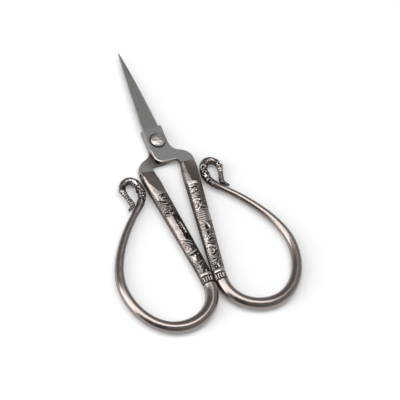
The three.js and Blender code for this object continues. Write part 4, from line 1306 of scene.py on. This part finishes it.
def floorFinish():
    s = stageSettings
    material = bpy.data.materials.new("floorWhite")
    add = shaderAdder(material)
    where = add("ShaderNodeTexCoord").outputs["Object"]
    paler = tuple(min(1.0, c * s["floorPaler"]) for c in s["floorColour"])
    colour = colourMix(add, noise(add, where, s["floorCloud"], detail=2.0), s["floorColour"], paler)
    diffuse = add("ShaderNodeBsdfDiffuse", {"Color": colour}).outputs["BSDF"]
    rays = add("ShaderNodeLightPath").outputs
    seen = worked(add, "MAXIMUM", rays["Is Camera Ray"], rays["Is Glossy Ray"])
    seen = worked(add, "MAXIMUM", seen, rays["Is Transmission Ray"])
    lift = worked(add, "MULTIPLY", seen, s["floorLift"])
    glow = add("ShaderNodeEmission", {"Color": (1.0, 1.0, 1.0, 1.0), "Strength": lift}).outputs["Emission"]
    both = add("ShaderNodeAddShader", {0: diffuse, 1: glow}).outputs["Shader"]
    add("ShaderNodeOutputMaterial", {"Surface": both})
    return material


def greyRoom():
    s = stageSettings
    world = bpy.data.worlds.new("greyRoom")
    add = shaderAdder(world)
    where = add("ShaderNodeTexCoord").outputs["Generated"]
    axes = add("ShaderNodeSeparateXYZ", {"Vector": where}).outputs
    toLeft, low = ranged(add, axes["X"], s["leftSpan"]), ranged(add, axes["Z"], s["leftHeight"])
    leftGlow = worked(add, "MULTIPLY", toLeft, low)
    tone = colourMix(add, ranged(add, axes["X"], s["rightSpan"]), s["room"], s["rightWall"])
    tone = colourMix(add, leftGlow, tone, s["leftWall"])
    towards = Vector(s["cornerTowards"]).normalized()
    facing = add("ShaderNodeVectorMath", {0: where, 1: towards}, operation="DOT_PRODUCT").outputs["Value"]
    tone = colourMix(add, ranged(add, facing, s["cornerSpan"]), tone, s["corner"])
    sky = add("ShaderNodeBackground", {"Color": tone, "Strength": s["roomLight"]}).outputs["Background"]
    add("ShaderNodeOutputWorld", {"Surface": sky})
    return world


floorMesh = bpy.data.meshes.new("floor")
reach = stageSettings["floorSize"] / 2
corners = [(-reach, -reach, 0), (reach, -reach, 0), (reach, reach, 0), (-reach, reach, 0)]
floorMesh.from_pydata(corners, [], [(0, 1, 2, 3)])
floor = bpy.data.objects.new("floor", floorMesh)
floorMesh.materials.append(floorFinish())
bpy.context.scene.collection.objects.link(floor)

for name, (centre, length, width, power) in stageSettings["softboxes"].items():
    lightData = bpy.data.lights.new(name, "AREA")
    lightData.shape = "RECTANGLE"
    lightData.size = length
    lightData.size_y = width
    lightData.energy = power
    light = bpy.data.objects.new(name, lightData)
    back = Vector(centre).normalized()
    wide = back.cross(Vector((1.0, 0.0, 0.0))).normalized()  # the length runs along X
    turn = Matrix((wide.cross(back), wide, back)).transposed().to_4x4()
    light.matrix_world = Matrix.Translation(centre) @ turn
    bpy.context.scene.collection.objects.link(light)

bpy.context.scene.world = greyRoom()

cameraSettings = {
    "lens": 225.0, "sensor": 36.0, "nearest": 0.05,
    "location": (-0.33833, -0.32914, 0.79897), "turn": (27.537, -13.922, -22.401),
}
cameraData = bpy.data.cameras.new("camera")
cameraData.lens = cameraSettings["lens"]
cameraData.sensor_width = cameraSettings["sensor"]
cameraData.clip_start = cameraSettings["nearest"]
camera = bpy.data.objects.new("camera", cameraData)
camera.location = cameraSettings["location"]
camera.rotation_euler = [math.radians(a) for a in cameraSettings["turn"]]
bpy.context.scene.collection.objects.link(camera)
bpy.context.scene.camera = camera
bpy.context.scene.view_settings.view_transform = "Standard"
print("stage set")
